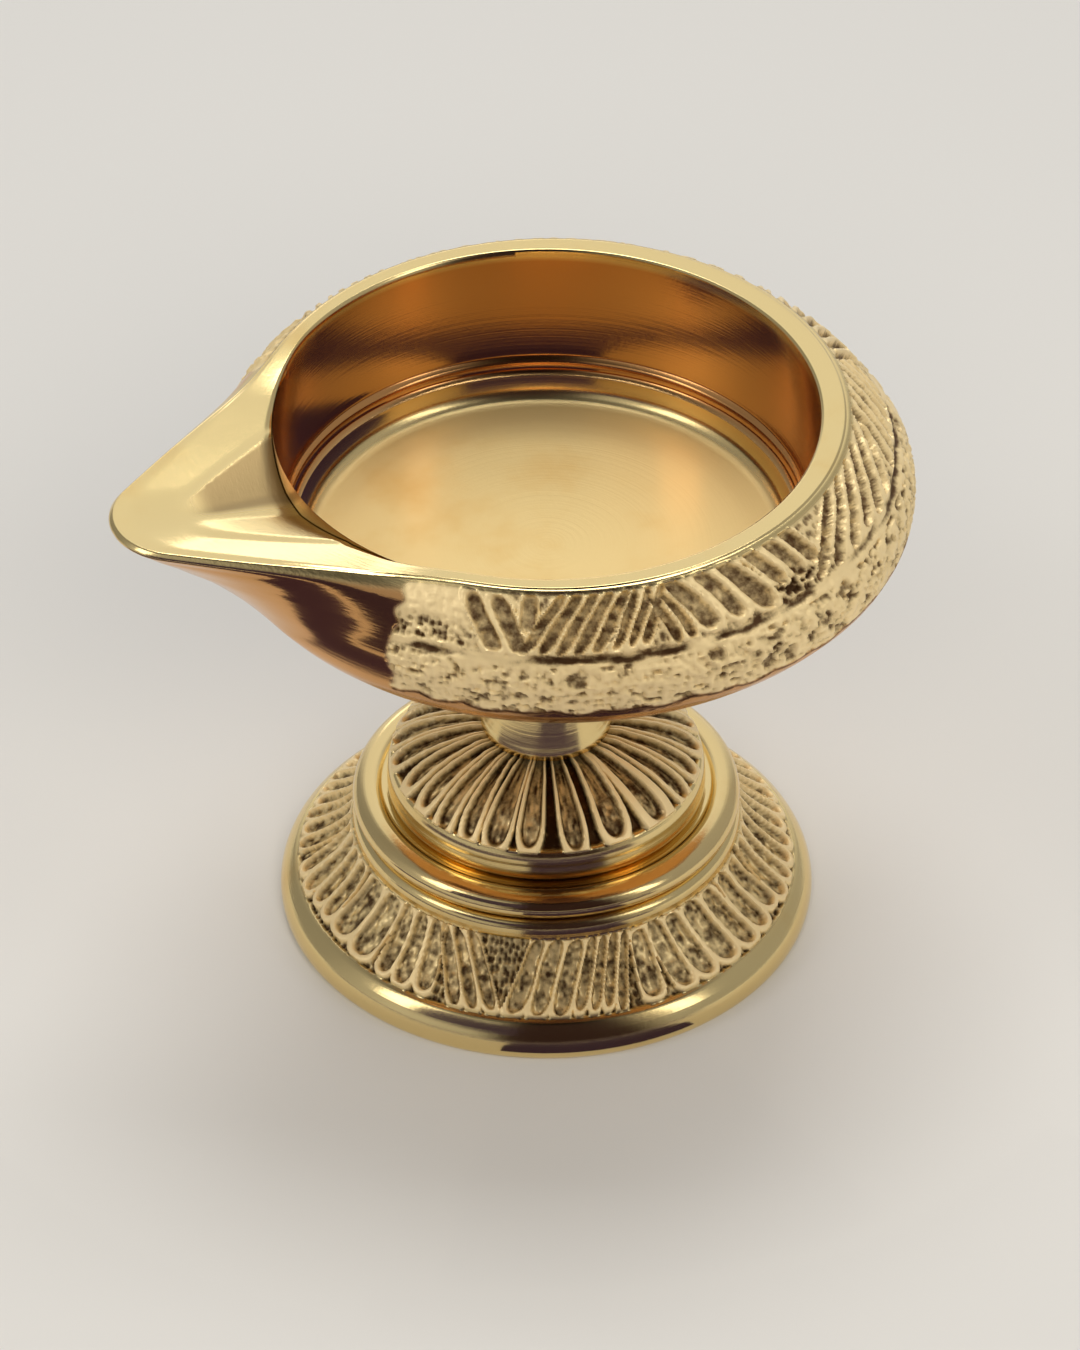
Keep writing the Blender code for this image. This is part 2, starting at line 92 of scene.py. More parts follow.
def lattice_noise(u, v, around, seed):
    """Smooth noise in -1..1.  u runs 0..1 round the piece and wraps after `around` cells."""
    rng = np.random.default_rng(seed)
    table = rng.uniform(-1.0, 1.0, (around, 512))
    x = u * around
    x0 = np.floor(x).astype(int)
    y0 = np.floor(v).astype(int)
    fx = x - x0
    fy = v - y0
    fx = fx * fx * (3 - 2 * fx)
    fy = fy * fy * (3 - 2 * fy)
    a = table[x0 % around, y0 % 512]
    b = table[(x0 + 1) % around, y0 % 512]
    c = table[x0 % around, (y0 + 1) % 512]
    d = table[(x0 + 1) % around, (y0 + 1) % 512]
    return (a * (1 - fx) + b * fx) * (1 - fy) + (c * (1 - fx) + d * fx) * fy


def punch_marks(u, v, around, seed):
    """Distance to the nearest punch mark, in cells: marks sit one to a jittered cell."""
    rng = np.random.default_rng(seed)
    jitter = rng.uniform(0.15, 0.85, (around, 256, 2))
    x = u * around
    x0 = np.floor(x).astype(int)
    y0 = np.floor(v).astype(int)
    best = np.full(np.broadcast(u, v).shape, 9.0)
    for dx in (-1, 0, 1):
        for dy in (-1, 0, 1):
            cell = jitter[(x0 + dx) % around, (y0 + dy) % 256]
            px = x0 + dx + cell[..., 0]
            py = y0 + dy + cell[..., 1]
            best = np.minimum(best, np.hypot(px - x, py - v))
    return best


def strokes(deg, t, fans, seed):
    """Depth of the gouge strokes, 0 to about 1, over angle in degrees and t across the band.

    A fan is (start, end, strokes, lean, bend, top, bottom, width, depth): lean is how
    many degrees a stroke runs round the piece from the top of the band to its bottom.
    """
    rng = np.random.default_rng(seed)
    depth = np.zeros(np.broadcast(deg, t).shape)
    for start, end, count, lean, bend, top, bottom, width, deep in fans:
        pitch = (end - start) / count
        ends = rng.uniform(-1.0, 1.0, (count, 4))
        middle = (start + end) / 2
        local = (deg - middle + 180.0) % 360.0 - 180.0 + (end - start) / 2
        place = (local - lean * (t - 0.5) - bend * (t - 0.5) ** 2) / pitch
        index = np.floor(place).astype(int)
        inside = (index >= 0) & (index < count)
        pick = np.clip(index, 0, count - 1)
        across = place - index - 0.5 + 0.08 * ends[pick, 3]
        high = top + 0.05 * ends[pick, 0]
        low = bottom + 0.06 * ends[pick, 1]
        along = np.clip((t - (high + low) / 2) / ((low - high) / 2), -1.0, 1.0)
        half = width / 2 * (1.0 + 0.14 * ends[pick, 2]) * np.sqrt(1.0 - along ** 6)
        cut = np.clip(1.0 - (across / np.maximum(half, 1e-4)) ** 2, 0.0, 1.0)
        cut = np.where(np.abs(along) < 1.0, cut, 0.0)
        scoop = 0.72 + 0.28 * (1.0 - along * along)
        cut = cut ** 0.6 * scoop * deep * (1.0 + 0.12 * ends[pick, 2])
        depth = np.maximum(depth, np.where(inside, cut, 0.0))
    return depth


def outlined(deg, t, fans, seed):
    """Grooves with a raised edge round each: how deep and how high they are, 0 to 1.

    A fan is (start, end, grooves, lean, bend, top, bottom, groove, edge): the last two are
    the width of a groove and of the edge beside it as shares of the distance between grooves.
    """
    rng = np.random.default_rng(seed)
    shape = np.broadcast(deg, t).shape
    groove = np.zeros(shape)
    edge = np.zeros(shape)
    for start, end, count, lean, bend, top, bottom, wide, rim in fans:
        pitch = (end - start) / count
        vary = rng.uniform(-1.0, 1.0, (count, 4))
        local = (deg - (start + end) / 2 + 180.0) % 360.0 - 180.0 + (end - start) / 2
        place = (local - lean * (t - 0.5) - bend * (t - 0.5) ** 2) / pitch
        index = np.floor(place).astype(int)
        inside = (index >= 0) & (index < count)
        pick = np.clip(index, 0, count - 1)
        across = np.abs(place - index - 0.5 + 0.03 * vary[pick, 3])
        low = bottom + 0.04 * vary[pick, 1]
        high = top + 0.02 * vary[pick, 0]
        along = np.abs(t - (high + low) / 2) / ((low - high) / 2)
        half = wide / 2 * (1.0 + 0.10 * vary[pick, 2])
        beyond = (np.hypot(across / half, np.minimum(along, 3.0) ** 3) - 1.0) * half
        deep = smoothstep(0.02, -0.30 * half, beyond) * (0.85 + 0.15 * vary[pick, 2])
        raised = smoothstep(-0.02, 0.25 * rim, beyond) * smoothstep(1.25 * rim, 0.85 * rim, beyond)
        groove = np.maximum(groove, np.where(inside, deep, 0.0))
        edge = np.maximum(edge, np.where(inside, raised, 0.0))
    return groove, edge


def smooth_rows(table, step):
    """Fills in a smooth path through table rows, about `step` apart in the first two columns."""
    table = np.asarray(table, float)
    legs = np.hypot(np.diff(table[:, 0]), np.diff(table[:, 1]))
    place = np.concatenate([[0.0], np.cumsum(legs)])
    slope = np.gradient(table, place, axis=0)
    count = max(2, int(round(place[-1] / step)) + 1)
    at = np.linspace(0.0, place[-1], count)
    index = np.clip(np.searchsorted(place, at, side="right") - 1, 0, len(place) - 2)
    gap = (place[index + 1] - place[index])[:, None]
    s = ((at - place[index])[:, None]) / gap
    p0, p1 = table[index], table[index + 1]
    m0, m1 = slope[index] * gap, slope[index + 1] * gap
    return (
        (2 * s ** 3 - 3 * s ** 2 + 1) * p0
        + (s ** 3 - 2 * s ** 2 + s) * m0
        + (-2 * s ** 3 + 3 * s ** 2) * p1
        + (s ** 3 - s ** 2) * m1
    )


# ---------------------------------------------------------------- skins


class Skin:
    """Collects rings of points into one closed skin with values for its finish."""

    VALUES = ("cut", "pale", "polish", "satin", "tarnish")

    def __init__(self):
        self.points = []
        self.values = {name: [] for name in self.VALUES}
        self.faces = []
        self.triangles = []
        self.count = 0
        self.first = None
        self.last = None

    def band(self, radius, height, sides=None, **values):
        """Adds rows of rings.  radius and height broadcast to (rows, sides)."""
        radius = np.atleast_2d(radius)
        height = np.atleast_2d(height)
        if sides is not None:
            radius = np.broadcast_to(radius.reshape(-1, 1), (radius.size, sides))
            height = np.broadcast_to(height.reshape(-1, 1), (height.size, sides))
        angle = np.arange(radius.shape[1]) / radius.shape[1] * TAU
        self.grid(self.spread(angle[None, :], radius, height), **values)

    @staticmethod
    def spread(angle, radius, height):
        """Points at an angle, radius and height, as (rows, sides, 3)."""
        radius, height = np.broadcast_arrays(radius, height)
        x = AXIS_X - radius * np.cos(angle)
        y = -radius * np.sin(angle)
        return np.stack([x, y, height], axis=-1)

    def grid(self, grid, **values):
        """Adds (rows, sides, 3) points and joins them to the ring before."""
        rows, sides, _ = grid.shape
        ids = self.count + np.arange(rows * sides).reshape(rows, sides)
        self.count += rows * sides
        self.points.append(grid.reshape(-1, 3))
        for name in self.VALUES:
            value = np.broadcast_to(values.get(name, 0.0), (rows, sides))
            self.values[name].append(value.reshape(-1))
        if self.last is not None:
            self.join(self.last, ids[0])
        if self.first is None:
            self.first = ids[0]
        for near, far in zip(ids, ids[1:]):
            self.join(near, far)
        self.last = ids[-1]

    def join(self, a, b):
        """Fills between two rings, one having a whole number of times the other's points."""
        if len(a) == len(b):
            self.faces.append(np.stack([a, b, np.roll(b, -1), np.roll(a, -1)], axis=1))
            return
        flip = len(a) > len(b)
        few, many = (b, a) if flip else (a, b)
        times = len(many) // len(few)
        half = times // 2
        index = np.arange(len(few))
        nxt = np.roll(few, -1)
        parts = []
        for step in range(times):
            near = many[(index * times + step) % len(many)]
            far = many[(index * times + step + 1) % len(many)]
            corner = few if step < half else nxt
            parts.append(np.stack([corner, near, far], axis=1))
        middle = many[(index * times + half) % len(many)]
        parts.append(np.stack([few, middle, nxt], axis=1))
        found = np.concatenate(parts)
        self.triangles.append(found[:, ::-1] if flip else found)

    def tip(self, height, values):
        """Adds one point on the axis and gives back its number."""
        self.points.append(np.array([[AXIS_X, 0.0, height]]))
        for name, value in values.items():
            self.values[name].append(value)
        self.count += 1
        return self.count - 1

    def cap(self, height):
        """Closes the last ring onto a point on the axis."""
        ring = self.last
        tip = self.tip(height, {name: self.values[name][-1][-1:] for name in self.VALUES})
        self.triangles.append(np.stack([ring, np.full(len(ring), tip), np.roll(ring, -1)], axis=1))

    def start_cap(self, height):
        """Closes the first ring onto a point on the axis."""
        ring = self.first
        tip = self.tip(height, {name: self.values[name][0][:1] for name in self.VALUES})
        self.triangles.append(np.stack([np.full(len(ring), tip), ring, np.roll(ring, -1)], axis=1))

    def close(self):
        """Joins the last ring back to the first."""
        self.join(self.last, self.first)

    def make(self, name, finish):
        """Makes the object, turned face outward, with its values as point attributes."""
        points = np.concatenate(self.points) * MM
        quads = np.concatenate(self.faces) if self.faces else np.zeros((0, 4), int)
        tris = np.concatenate(self.triangles) if self.triangles else np.zeros((0, 3), int)
        halves = np.concatenate([quads[:, [0, 1, 2]], quads[:, [0, 2, 3]], tris])
        corner = points[halves]
        volume = np.einsum("ij,ij->", corner[:, 0], np.cross(corner[:, 1], corner[:, 2]))
        if volume < 0:
            quads = quads[:, ::-1]
            tris = tris[:, ::-1]
        data = bpy.data.meshes.new(name)
        data.vertices.add(len(points))
        data.vertices.foreach_set("co", points.astype(np.float32).ravel())
        loops = np.concatenate([quads.ravel(), tris.ravel()]).astype(np.int32)
        data.loops.add(len(loops))
        data.loops.foreach_set("vertex_index", loops)
        data.polygons.add(len(quads) + len(tris))
        starts = np.concatenate(
            [np.arange(len(quads)) * 4, len(quads) * 4 + np.arange(len(tris)) * 3]
        )
        data.polygons.foreach_set("loop_start", starts.astype(np.int32))
        data.update(calc_edges=True)
        for key, parts in self.values.items():
            layer = data.attributes.new(key, "FLOAT", "POINT")
            layer.data.foreach_set("value", np.concatenate(parts).astype(np.float32))
        data.materials.append(finish)
        data.shade_smooth()
        data.set_sharp_from_angle(angle=math.radians(50.0))
        piece = bpy.data.objects.new(name, data)
        bpy.context.scene.collection.objects.link(piece)
        return piece


def lean_out(radius, height, amount):
    """Moves rows of rings along their own surface normal, seen in section."""
    dr = np.gradient(radius, axis=0)
    dz = np.gradient(height, axis=0)
    length = np.maximum(np.hypot(dr, dz), 1e-9)
    return radius - amount * dz / length, height + amount * dr / length


def stand_in(piece, body, node):
    """Puts a finished skin on its body in place of the plain CAD node."""
    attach(piece, body)
    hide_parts(node)


# ---------------------------------------------------------------- finishes


def brass(name, base, dark, pale, rough, marks):
    """Metal with dark patina in the cuts, pale burnished ridges, turning marks and stains.

    The skins' point values say where, each 0 to 1: cut, pale, polish, satin and, last, painted shade, a
    darker and redder tone. Cut is dark patina in the carving and also painted shade in the wick channel
    and under the band's edge.
    """
    finish = bpy.data.materials.new(name)
    finish.use_nodes = True
    tree = finish.node_tree
    shader = tree.nodes["Principled BSDF"]
    shader.inputs["Metallic"].default_value = 1.0

    def node(kind, **settings):
        made = tree.nodes.new(kind)
        for key, value in settings.items():
            setattr(made, key, value)
        return made

    def link(source, target):
        tree.links.new(source, target)

    def value(name):
        return node("ShaderNodeAttribute", attribute_name=name).outputs["Fac"]

    def math_node(operation, a, b):
        made = node("ShaderNodeMath", operation=operation)
        for slot, item in zip(made.inputs, (a, b)):
            if isinstance(item, (int, float)):
                slot.default_value = item
            else:
                link(item, slot)
        return made.outputs[0]

    def noise(scale, detail, rough_share, vector):
        made = node("ShaderNodeTexNoise")
        made.inputs["Scale"].default_value = scale
        made.inputs["Detail"].default_value = detail
        made.inputs["Roughness"].default_value = rough_share
        link(vector, made.inputs["Vector"])
        return made.outputs["Fac"]

    def ramp(source, low, high):
        made = node("ShaderNodeMapRange", interpolation_type="SMOOTHSTEP")
        made.inputs["From Min"].default_value = low
        made.inputs["From Max"].default_value = high
        link(source, made.inputs["Value"])
        return made.outputs["Result"]

    def mix(factor, a, b):
        made = node("ShaderNodeMix", data_type="RGBA")
        link(factor, made.inputs["Factor"])
        for slot, item in ((made.inputs["A"], a), (made.inputs["B"], b)):
            if isinstance(item, tuple):
                slot.default_value = (*item, 1.0)
            else:
                link(item, slot)
        return made.outputs["Result"]

    place = node("ShaderNodeTexCoord").outputs["Object"]
    split = node("ShaderNodeSeparateXYZ")
    link(place, split.inputs[0])
    across = math_node("SUBTRACT", split.outputs["X"], AXIS_X * MM)
    square = math_node(
        "ADD", math_node("MULTIPLY", across, across),
        math_node("MULTIPLY", split.outputs["Y"], split.outputs["Y"])
    )
    radius = math_node("POWER", square, 0.5)
    turning = node("ShaderNodeCombineXYZ")
    link(math_node("MULTIPLY", radius, 1000.0), turning.inputs["X"])
    link(math_node("MULTIPLY", split.outputs["Z"], 1000.0), turning.inputs["Y"])
    rings = noise(2.6, 2.0, 0.6, turning.outputs[0])

    stain = noise(60.0, 4.0, 0.55, place)
    cloud = noise(22.0, 2.0, 0.5, place)
    grain = noise(1500.0, 3.0, 0.6, place)

    warm = tuple(c * k for c, k in zip(base, (0.93, 0.82, 0.66)))
    tint = mix(ramp(stain, 0.50, 0.80), base, warm)
    tint = mix(ramp(cloud, 0.55, 0.85), tint, tuple(c * 0.88 for c in base))
    # Painted shade: a darker, redder tone where the skins' last value says, standing in for shade seen in
    # the brass
    tint = mix(value("tarnish"), tint, tuple(c * k for c, k in zip(base, (0.78, 0.50, 0.38))))
    tint = mix(value("pale"), tint, pale)
    speck = math_node("MULTIPLY", math_node("SUBTRACT", grain, 0.5), 0.7)
    speck = math_node("MULTIPLY", speck, math_node("SUBTRACT", 1.0, value("polish")))
    cut = math_node("ADD", value("cut"), math_node("MULTIPLY", speck, ramp(value("cut"), 0.0, 0.3)))
    tint = mix(ramp(cut, 0.15, 0.90), tint, dark)
    link(tint, shader.inputs["Base Color"])

    carved = math_node("MULTIPLY", value("pale"), 0.20)
    carved = math_node("ADD", carved, math_node("MULTIPLY", value("satin"), 0.30))
    matt = math_node("ADD", carved, math_node("MULTIPLY", ramp(cut, 0.05, 0.7), 0.24))
    worn = math_node("MULTIPLY", math_node("SUBTRACT", stain, 0.5), 0.12)
    pale_dull = math_node("MULTIPLY", value("pale"), 0.68)
    dull = math_node("MAXIMUM", pale_dull, math_node("MULTIPLY", value("satin"), 0.2))
    link(math_node("SUBTRACT", 1.0, dull), shader.inputs["Metallic"])
    smooth = math_node("MULTIPLY", value("polish"), -0.05)
    total = math_node("ADD", math_node("ADD", matt, worn), math_node("ADD", smooth, rough))
    clamp = node("ShaderNodeClamp")
    clamp.inputs["Min"].default_value = 0.08
    clamp.inputs["Max"].default_value = 0.75
    link(total, clamp.inputs["Value"])
    link(clamp.outputs[0], shader.inputs["Roughness"])

    relief = math_node("ADD", math_node("MULTIPLY", rings, marks), math_node("MULTIPLY", grain, 0.3))
    bump = node("ShaderNodeBump")
    bump.inputs["Strength"].default_value = 0.30
    bump.inputs["Distance"].default_value = 0.0001
    link(relief, bump.inputs["Height"])
    link(bump.outputs["Normal"], shader.inputs["Normal"])
    finish.diffuse_color = (*base, 1.0)
    return finish


GOLD = (0.85, 0.66, 0.31)
DARK = (0.13, 0.066, 0.026)
DEEP = (0.075, 0.036, 0.013)
CREAM = (0.97, 0.76, 0.41)
cast_brass = brass("cast_brass", GOLD, DARK, CREAM, 0.22, 0.5)
turned_brass = brass("turned_brass", GOLD, DARK, CREAM, 0.20, 0.9)
ring_brass = brass("polished_brass", (0.84, 0.64, 0.30), DARK, CREAM, 0.18, 0.9)
dome_brass = brass("engraved_brass", GOLD, DEEP, CREAM, 0.22, 0.6)
foot_brass = brass("foot_brass", GOLD, DEEP, CREAM, 0.22, 0.6)
rod_brass = brass("drawn_brass", (0.62, 0.42, 0.17), DARK, CREAM, 0.33, 0.3)
steel = brass("spring_steel", (0.42, 0.42, 0.43), (0.05, 0.05, 0.05), (0.6, 0.6, 0.6), 0.36, 0.3)

# ---------------------------------------------------------------- bowl and spout

WELL_R = 34.0
WELL_DEPTH = 21.0
SEAT_DEPTH = 29.5
SPIGOT_R = 6.0
SPIGOT_BORE_R = 4.4

# Outside of the bowl from the rim down: depth, radius and shift of the round body, then
# reach and radius of the spout's nose
OUTSIDE = (
    (0.0, 36.3, 0.9, 56.6, 8.2),
    (0.8, 37.2, 1.0, 57.2, 8.8),
    (3.2, 39.7, 1.2, 55.6, 8.2),
    (6.2, 42.0, 1.5, 51.8, 7.2),
    (7.4, 42.8, 1.7, 50.4, 6.8),
    (9.6, 43.9, 2.0, 47.6, 6.4),
    (12.0, 44.0, 2.2, 45.0, 6.0),
    (14.2, 43.5, 2.2, 42.6, 6.0),
    (16.8, 41.4, 2.1, 39.3, 6.0),
    (19.8, 37.4, 1.8, 35.6, 6.0),
    (22.6, 32.0, 1.4, 30.6, 6.0),
    (25.2, 25.0, 1.0, 24.0, 6.0),
    (27.3, 17.6, 0.5, 17.1, 6.0),
    (28.6, 12.6, 0.1, 12.5, 6.0),
    (SEAT_DEPTH, 11.2, 0.0, 11.2, 6.0),
)
CARVED_DEPTH = 14.6
SHOULDER_TOP = 0.45
SHOULDER_BOTTOM = 6.1

# Spout: how far its sides draw in, the wick channel and the two facets beside it
SPOUT_WAIST = 0.9
SPOUT_WAIST_DEPTH = 6.0
CHANNEL_START = 32.0
CHANNEL_END = 50.5
CHANNEL_HALF = 12.0
CHANNEL_DEPTH = 4.4
CHANNEL_END_DEPTH = 1.7
CHANNEL_FLOOR = 0.22
FACET_INNER_DROP = 2.0
FACET_OUTER_DROP = 0.9
FACET_WIDTH = 8.0


def outline(angle, radius, shift, reach, nose, waist):
    """Distance from the axis to a round body drawn out into a rounded spout."""
    angle = np.abs((angle + math.pi) % TAU - math.pi)
    across = shift * np.sin(angle)
    body = -shift * np.cos(angle) + np.sqrt(radius * radius - across * across)
    spread = reach - nose + shift
    if spread <= radius - nose:
        return body
    lean = math.acos((radius - nose) / spread)
    centre = reach - nose
    nose_end = math.atan2(nose * math.sin(lean), centre + nose * math.cos(lean))
    body_start = math.atan2(radius * math.sin(lean), radius * math.cos(lean) - shift)
    off = centre * np.sin(np.minimum(angle, nose_end))
    tip = centre * np.cos(angle) + np.sqrt(nose * nose - off * off)
    share = np.clip((angle - nose_end) / (body_start - nose_end), 0.0, 1.0)
    support = radius - shift * math.cos(lean)
    side = support / np.cos(np.minimum(np.abs(angle - lean), 1.4))
    side = side - waist * np.sin(math.pi * share) ** 2
    return np.where(angle <= nose_end, tip, np.where(angle <= body_start, side, body))


def outline_rows(rows, angle):
    """Radius over rows of (depth, radius, shift, reach, nose) and angle."""
    found = []
    for depth, radius, shift, reach, nose in rows:
        waist = SPOUT_WAIST * max(0.0, 1.0 - depth / SPOUT_WAIST_DEPTH)
        found.append(outline(angle, radius, shift, reach, nose, waist))
    return np.array(found)


def spout_share(angle):
    """1 over the spout, 0 over the round body."""
    degrees = np.degrees(np.abs((angle + math.pi) % TAU - math.pi))
    return 1.0 - smoothstep(30.0, 52.0, degrees)


def channel_run(angle, radius):
    """How far along the wick channel a point is, 0 to 1, and half the channel's width there."""
    along = radius * np.cos(angle)
    run = np.clip((along - CHANNEL_START) / (CHANNEL_END - CHANNEL_START), 0.0, 1.0)
    return run, np.maximum(CHANNEL_HALF * (1.0 - run) ** 0.85, 1e-3)


def rim_drop(angle, radius, outer):
    """Depth of the rim's top below the rim plane: facets and wick channel on the spout."""
    run, half = channel_run(angle, radius)
    across = np.abs(radius * np.sin(angle))
    near = np.clip((outer - radius) / FACET_WIDTH, 0.0, 1.0)
    facet = FACET_OUTER_DROP + (FACET_INNER_DROP - FACET_OUTER_DROP) * near
    deep = np.maximum(CHANNEL_DEPTH + (CHANNEL_END_DEPTH - CHANNEL_DEPTH) * run, facet)
    wall = np.clip((across / half - CHANNEL_FLOOR) / (1.0 - CHANNEL_FLOOR), 0.0, 1.0)
    wall = np.maximum(wall, smoothstep(0.78, 1.0, run))
    return spout_share(angle) * (deep + (facet - deep) * wall)


# Fans of outlined() on the shoulder: start, end, grooves, lean, bend, top, bottom, groove
# share, edge share
SHOULDER_FANS = (
    (52.5, 62.0, 2, 5.5, 0.0, 0.02, 0.97, 0.72, 0.22),
    (61.0, 65.0, 1, -1.0, 0.0, 0.0, 0.62, 0.84, 0.10),
    (64.0, 79.0, 5, -7.2, 2.5, -0.04, 0.98, 0.72, 0.26),
    (79.0, 86.5, 3, -5.5, 1.5, 0.0, 0.94, 0.66, 0.26),
    (85.8, 91.2, 2, 4.2, -3.0, 0.14, 1.0, 0.62, 0.26),
    (90.5, 107.5, 3, 5.8, -3.5, -0.06, 0.92, 0.66, 0.20),
    (107.5, 121.0, 3, 4.6, -2.0, -0.06, 0.70, 0.66, 0.20),
    (121.0, 152.0, 6, -14.0, 5.0, 0.0, 0.98, 0.60, 0.26),
    (152.0, 176.0, 6, -8.0, 3.0, 0.0, 0.95, 0.62, 0.24),
    (177.0, 203.0, 7, 7.0, -4.0, 0.0, 0.97, 0.66, 0.24),
    (204.0, 226.0, 4, 6.0, -4.0, -0.04, 0.92, 0.66, 0.20),
    (227.0, 254.0, 8, -8.0, 5.0, 0.0, 0.97, 0.66, 0.24),
    (255.0, 276.0, 4, 6.0, -3.0, -0.04, 0.92, 0.66, 0.20),
    (277.0, 300.0, 7, -7.0, 4.0, 0.0, 0.97, 0.66, 0.24),
    (300.0, 319.0, 5, 4.0, -2.0, 0.0, 0.95, 0.68, 0.24),
)

# Fans of strokes() on the belly band: start, end, strokes, lean, bend, top, bottom, width,
# depth
BAND_FANS = (
    (92.0, 120.0, 5, 5.0, -5.0, 0.08, 0.85, 0.40, 0.7),
    (120.0, 168.0, 9, -9.0, 5.0, 0.05, 0.85, 0.40, 0.7),
    (176.0, 236.0, 12, 6.0, -5.0, 0.08, 0.85, 0.40, 0.7),
    (244.0, 312.0, 13, -6.0, 5.0, 0.08, 0.85, 0.40, 0.7),
)

# Tapped hole under the bowl, lengths in mm and the thread's section in shares of a turn
HOLE_TOP_Z = 53.4
PITCH = 1.25
TAPPED_BORE_R = 3.55
TAPPED_ROOT_R = 4.15
TAPPED_CREST = 0.44
TAPPED_FLANK = 0.117
THREAD_RUN_OUT = 0.4


def tapped_rows(low, high):
    """Radius and height grids of the hole's right-handed thread, opening out at both ends."""
    rows = int(round((high - low) / PITCH * 12))
    height = np.linspace(low, high, rows + 1)[:, None]
    angle = np.arange(BORE_SIDES)[None, :] / BORE_SIDES
    turns = height / PITCH - angle
    offset = np.abs(turns - np.round(turns))
    share = np.clip(1.0 - (offset - TAPPED_CREST / 2) / TAPPED_FLANK, 0.0, 1.0)
    run_out = np.clip(np.minimum(height - low, high - height) / THREAD_RUN_OUT, 0.0, 1.0)
    share = 1.0 + (share - 1.0) * run_out
    radius = TAPPED_BORE_R + (TAPPED_ROOT_R - TAPPED_BORE_R) * share
    return radius, np.broadcast_to(height, radius.shape)


def make_bowl():
    """The bowl as one closed skin: well, rim and channel, carved outside, underside, hole."""
    skin = Skin()
    plain = np.arange(PLAIN_SIDES) / PLAIN_SIDES * TAU
    fine = np.arange(FINE_SIDES) / FINE_SIDES * TAU

    # well: floor, cove, two turned lines, wall
    floor = [(WELL_DEPTH, r) for r in (0.6, 6.0, 12.0, 18.0, 23.0, 26.5, 28.6)]
    cove = [(20.9, 29.4), (20.6, 30.1), (20.1, 30.7), (19.4, 31.05), (18.3, 31.2)]
    lines = [
        (17.75, 31.3), (17.6, 31.75), (17.35, 32.0), (17.1, 31.9), (16.7, 31.95),
        (16.2, 32.1), (15.95, 32.3), (15.8, 32.75), (15.5, 32.9), (15.2, 32.85),
    ]
    wall = [(14.0, 32.95), (11.0, 33.15), (8.0, 33.4), (5.0, 33.6), (3.0, 33.75), (1.6, 33.85)]
    inside = np.array(floor + cove + lines + wall)
    satin = smoothstep(30.4, 29.0, inside[:, 1])[:, None]
    bright = smoothstep(30.6, 32.0, inside[:, 1])[:, None]
    # The well's wall and turned lines are polished and darkened with painted shade
    skin.band(inside[:, 1], RIM_Z - inside[:, 0], WELL_SIDES, satin=satin, polish=bright, tarnish=bright)

    # rim top, facets and channel
    rim_edge = outline(plain, *OUTSIDE[0][1:], SPOUT_WAIST)
    shares = np.concatenate([[0.0, 0.03], np.linspace(0.07, 0.94, 25), [0.97, 1.0]])[:, None]
    radius = WELL_R + (rim_edge[None, :] - WELL_R) * shares
    drop = rim_drop(plain[None, :], radius, rim_edge[None, :])
    soft = 0.22 * (1.0 - smoothstep(0.0, 0.10, shares)) + 0.18 * smoothstep(0.90, 1.0, shares)
    height = RIM_Z - drop - soft
    below = (radius[0] - 0.1)[None, :]
    lip_z = (height[0] - 0.7)[None, :]
    skin.band(below, lip_z)
    # Painted shade in the wick channel, darker on its far wall, carried in the cut value
    run, half = channel_run(plain, radius)
    across = np.abs(radius * np.sin(plain))
    towards_spout = radius * np.cos(plain) > 0.0
    hollow = spout_share(plain)[None, :] * smoothstep(1.0, 0.92, across / half) * towards_spout
    hollow = hollow * smoothstep(0.95, 0.60, run)
    far_wall_shade = smoothstep(0.1, -0.1, radius * np.sin(plain) / half)
    skin.band(radius, height, polish=1.0, cut=hollow * (0.26 + 0.36 * far_wall_shade))

    # outside: shoulder, groove, punched band
    rows = smooth_rows(OUTSIDE, 0.27)
    carve = rows[(rows[:, 0] > 0.12) & (rows[:, 0] < CARVED_DEPTH)]
    deg = np.degrees(fine)[None, :]
    base_r = np.minimum(outline_rows(carve, fine), SPOUT_END)
    depth = carve[:, :1]
    base_z = RIM_Z - depth - FACET_OUTER_DROP * spout_share(fine)[None, :] * (
        1.0 - smoothstep(0.0, 3.0, depth)
    )
    t = (depth - SHOULDER_TOP) / (SHOULDER_BOTTOM - SHOULDER_TOP)
    u = deg / 360.0
    turn = np.abs((deg + 180.0) % 360.0 - 180.0)
    worked = smoothstep(39.0, 40.5, turn + 1.0 * lattice_noise(u, depth * 0.8, 90, 5))
    fine_grain = lattice_noise(u, depth * 3.0, 420, 61)
    grain = lattice_noise(u, depth * 1.6, 230, 62)
    wobble = 0.35 * lattice_noise(u, depth * 0.5, 60, 11)
    t_worn = t + 0.03 * lattice_noise(u, depth * 0.6, 50, 12)
    shoulder = worked * smoothstep(0.0, 0.06, t) * (1.0 - smoothstep(0.98, 1.04, t))
    cuts, edges = outlined(deg + wobble, t_worn, SHOULDER_FANS, 21)
    cuts = cuts * shoulder
    edges = edges * shoulder
    worn_patch = smoothstep(106.0, 112.0, turn) * (1.0 - smoothstep(120.0, 126.0, turn))
    low_rough = smoothstep(0.45, 0.7, t) * (1.0 - smoothstep(50.0, 54.0, turn) + worn_patch)
    stipple = smoothstep(0.62, 0.15, punch_marks(u, depth * 1.35, 300, 31))
    bare = shoulder * (1.0 - np.clip(cuts + edges, 0.0, 1.0)) * smoothstep(50.0, 55.0, turn)
    ground = shoulder * (1.0 - smoothstep(0.05, 0.3, cuts)) * stipple * (0.25 + low_rough)
    ground = ground + 0.7 * bare * stipple
    crumble = shoulder * np.clip(low_rough, 0.0, 1.0) * smoothstep(0.0, 0.5, grain)

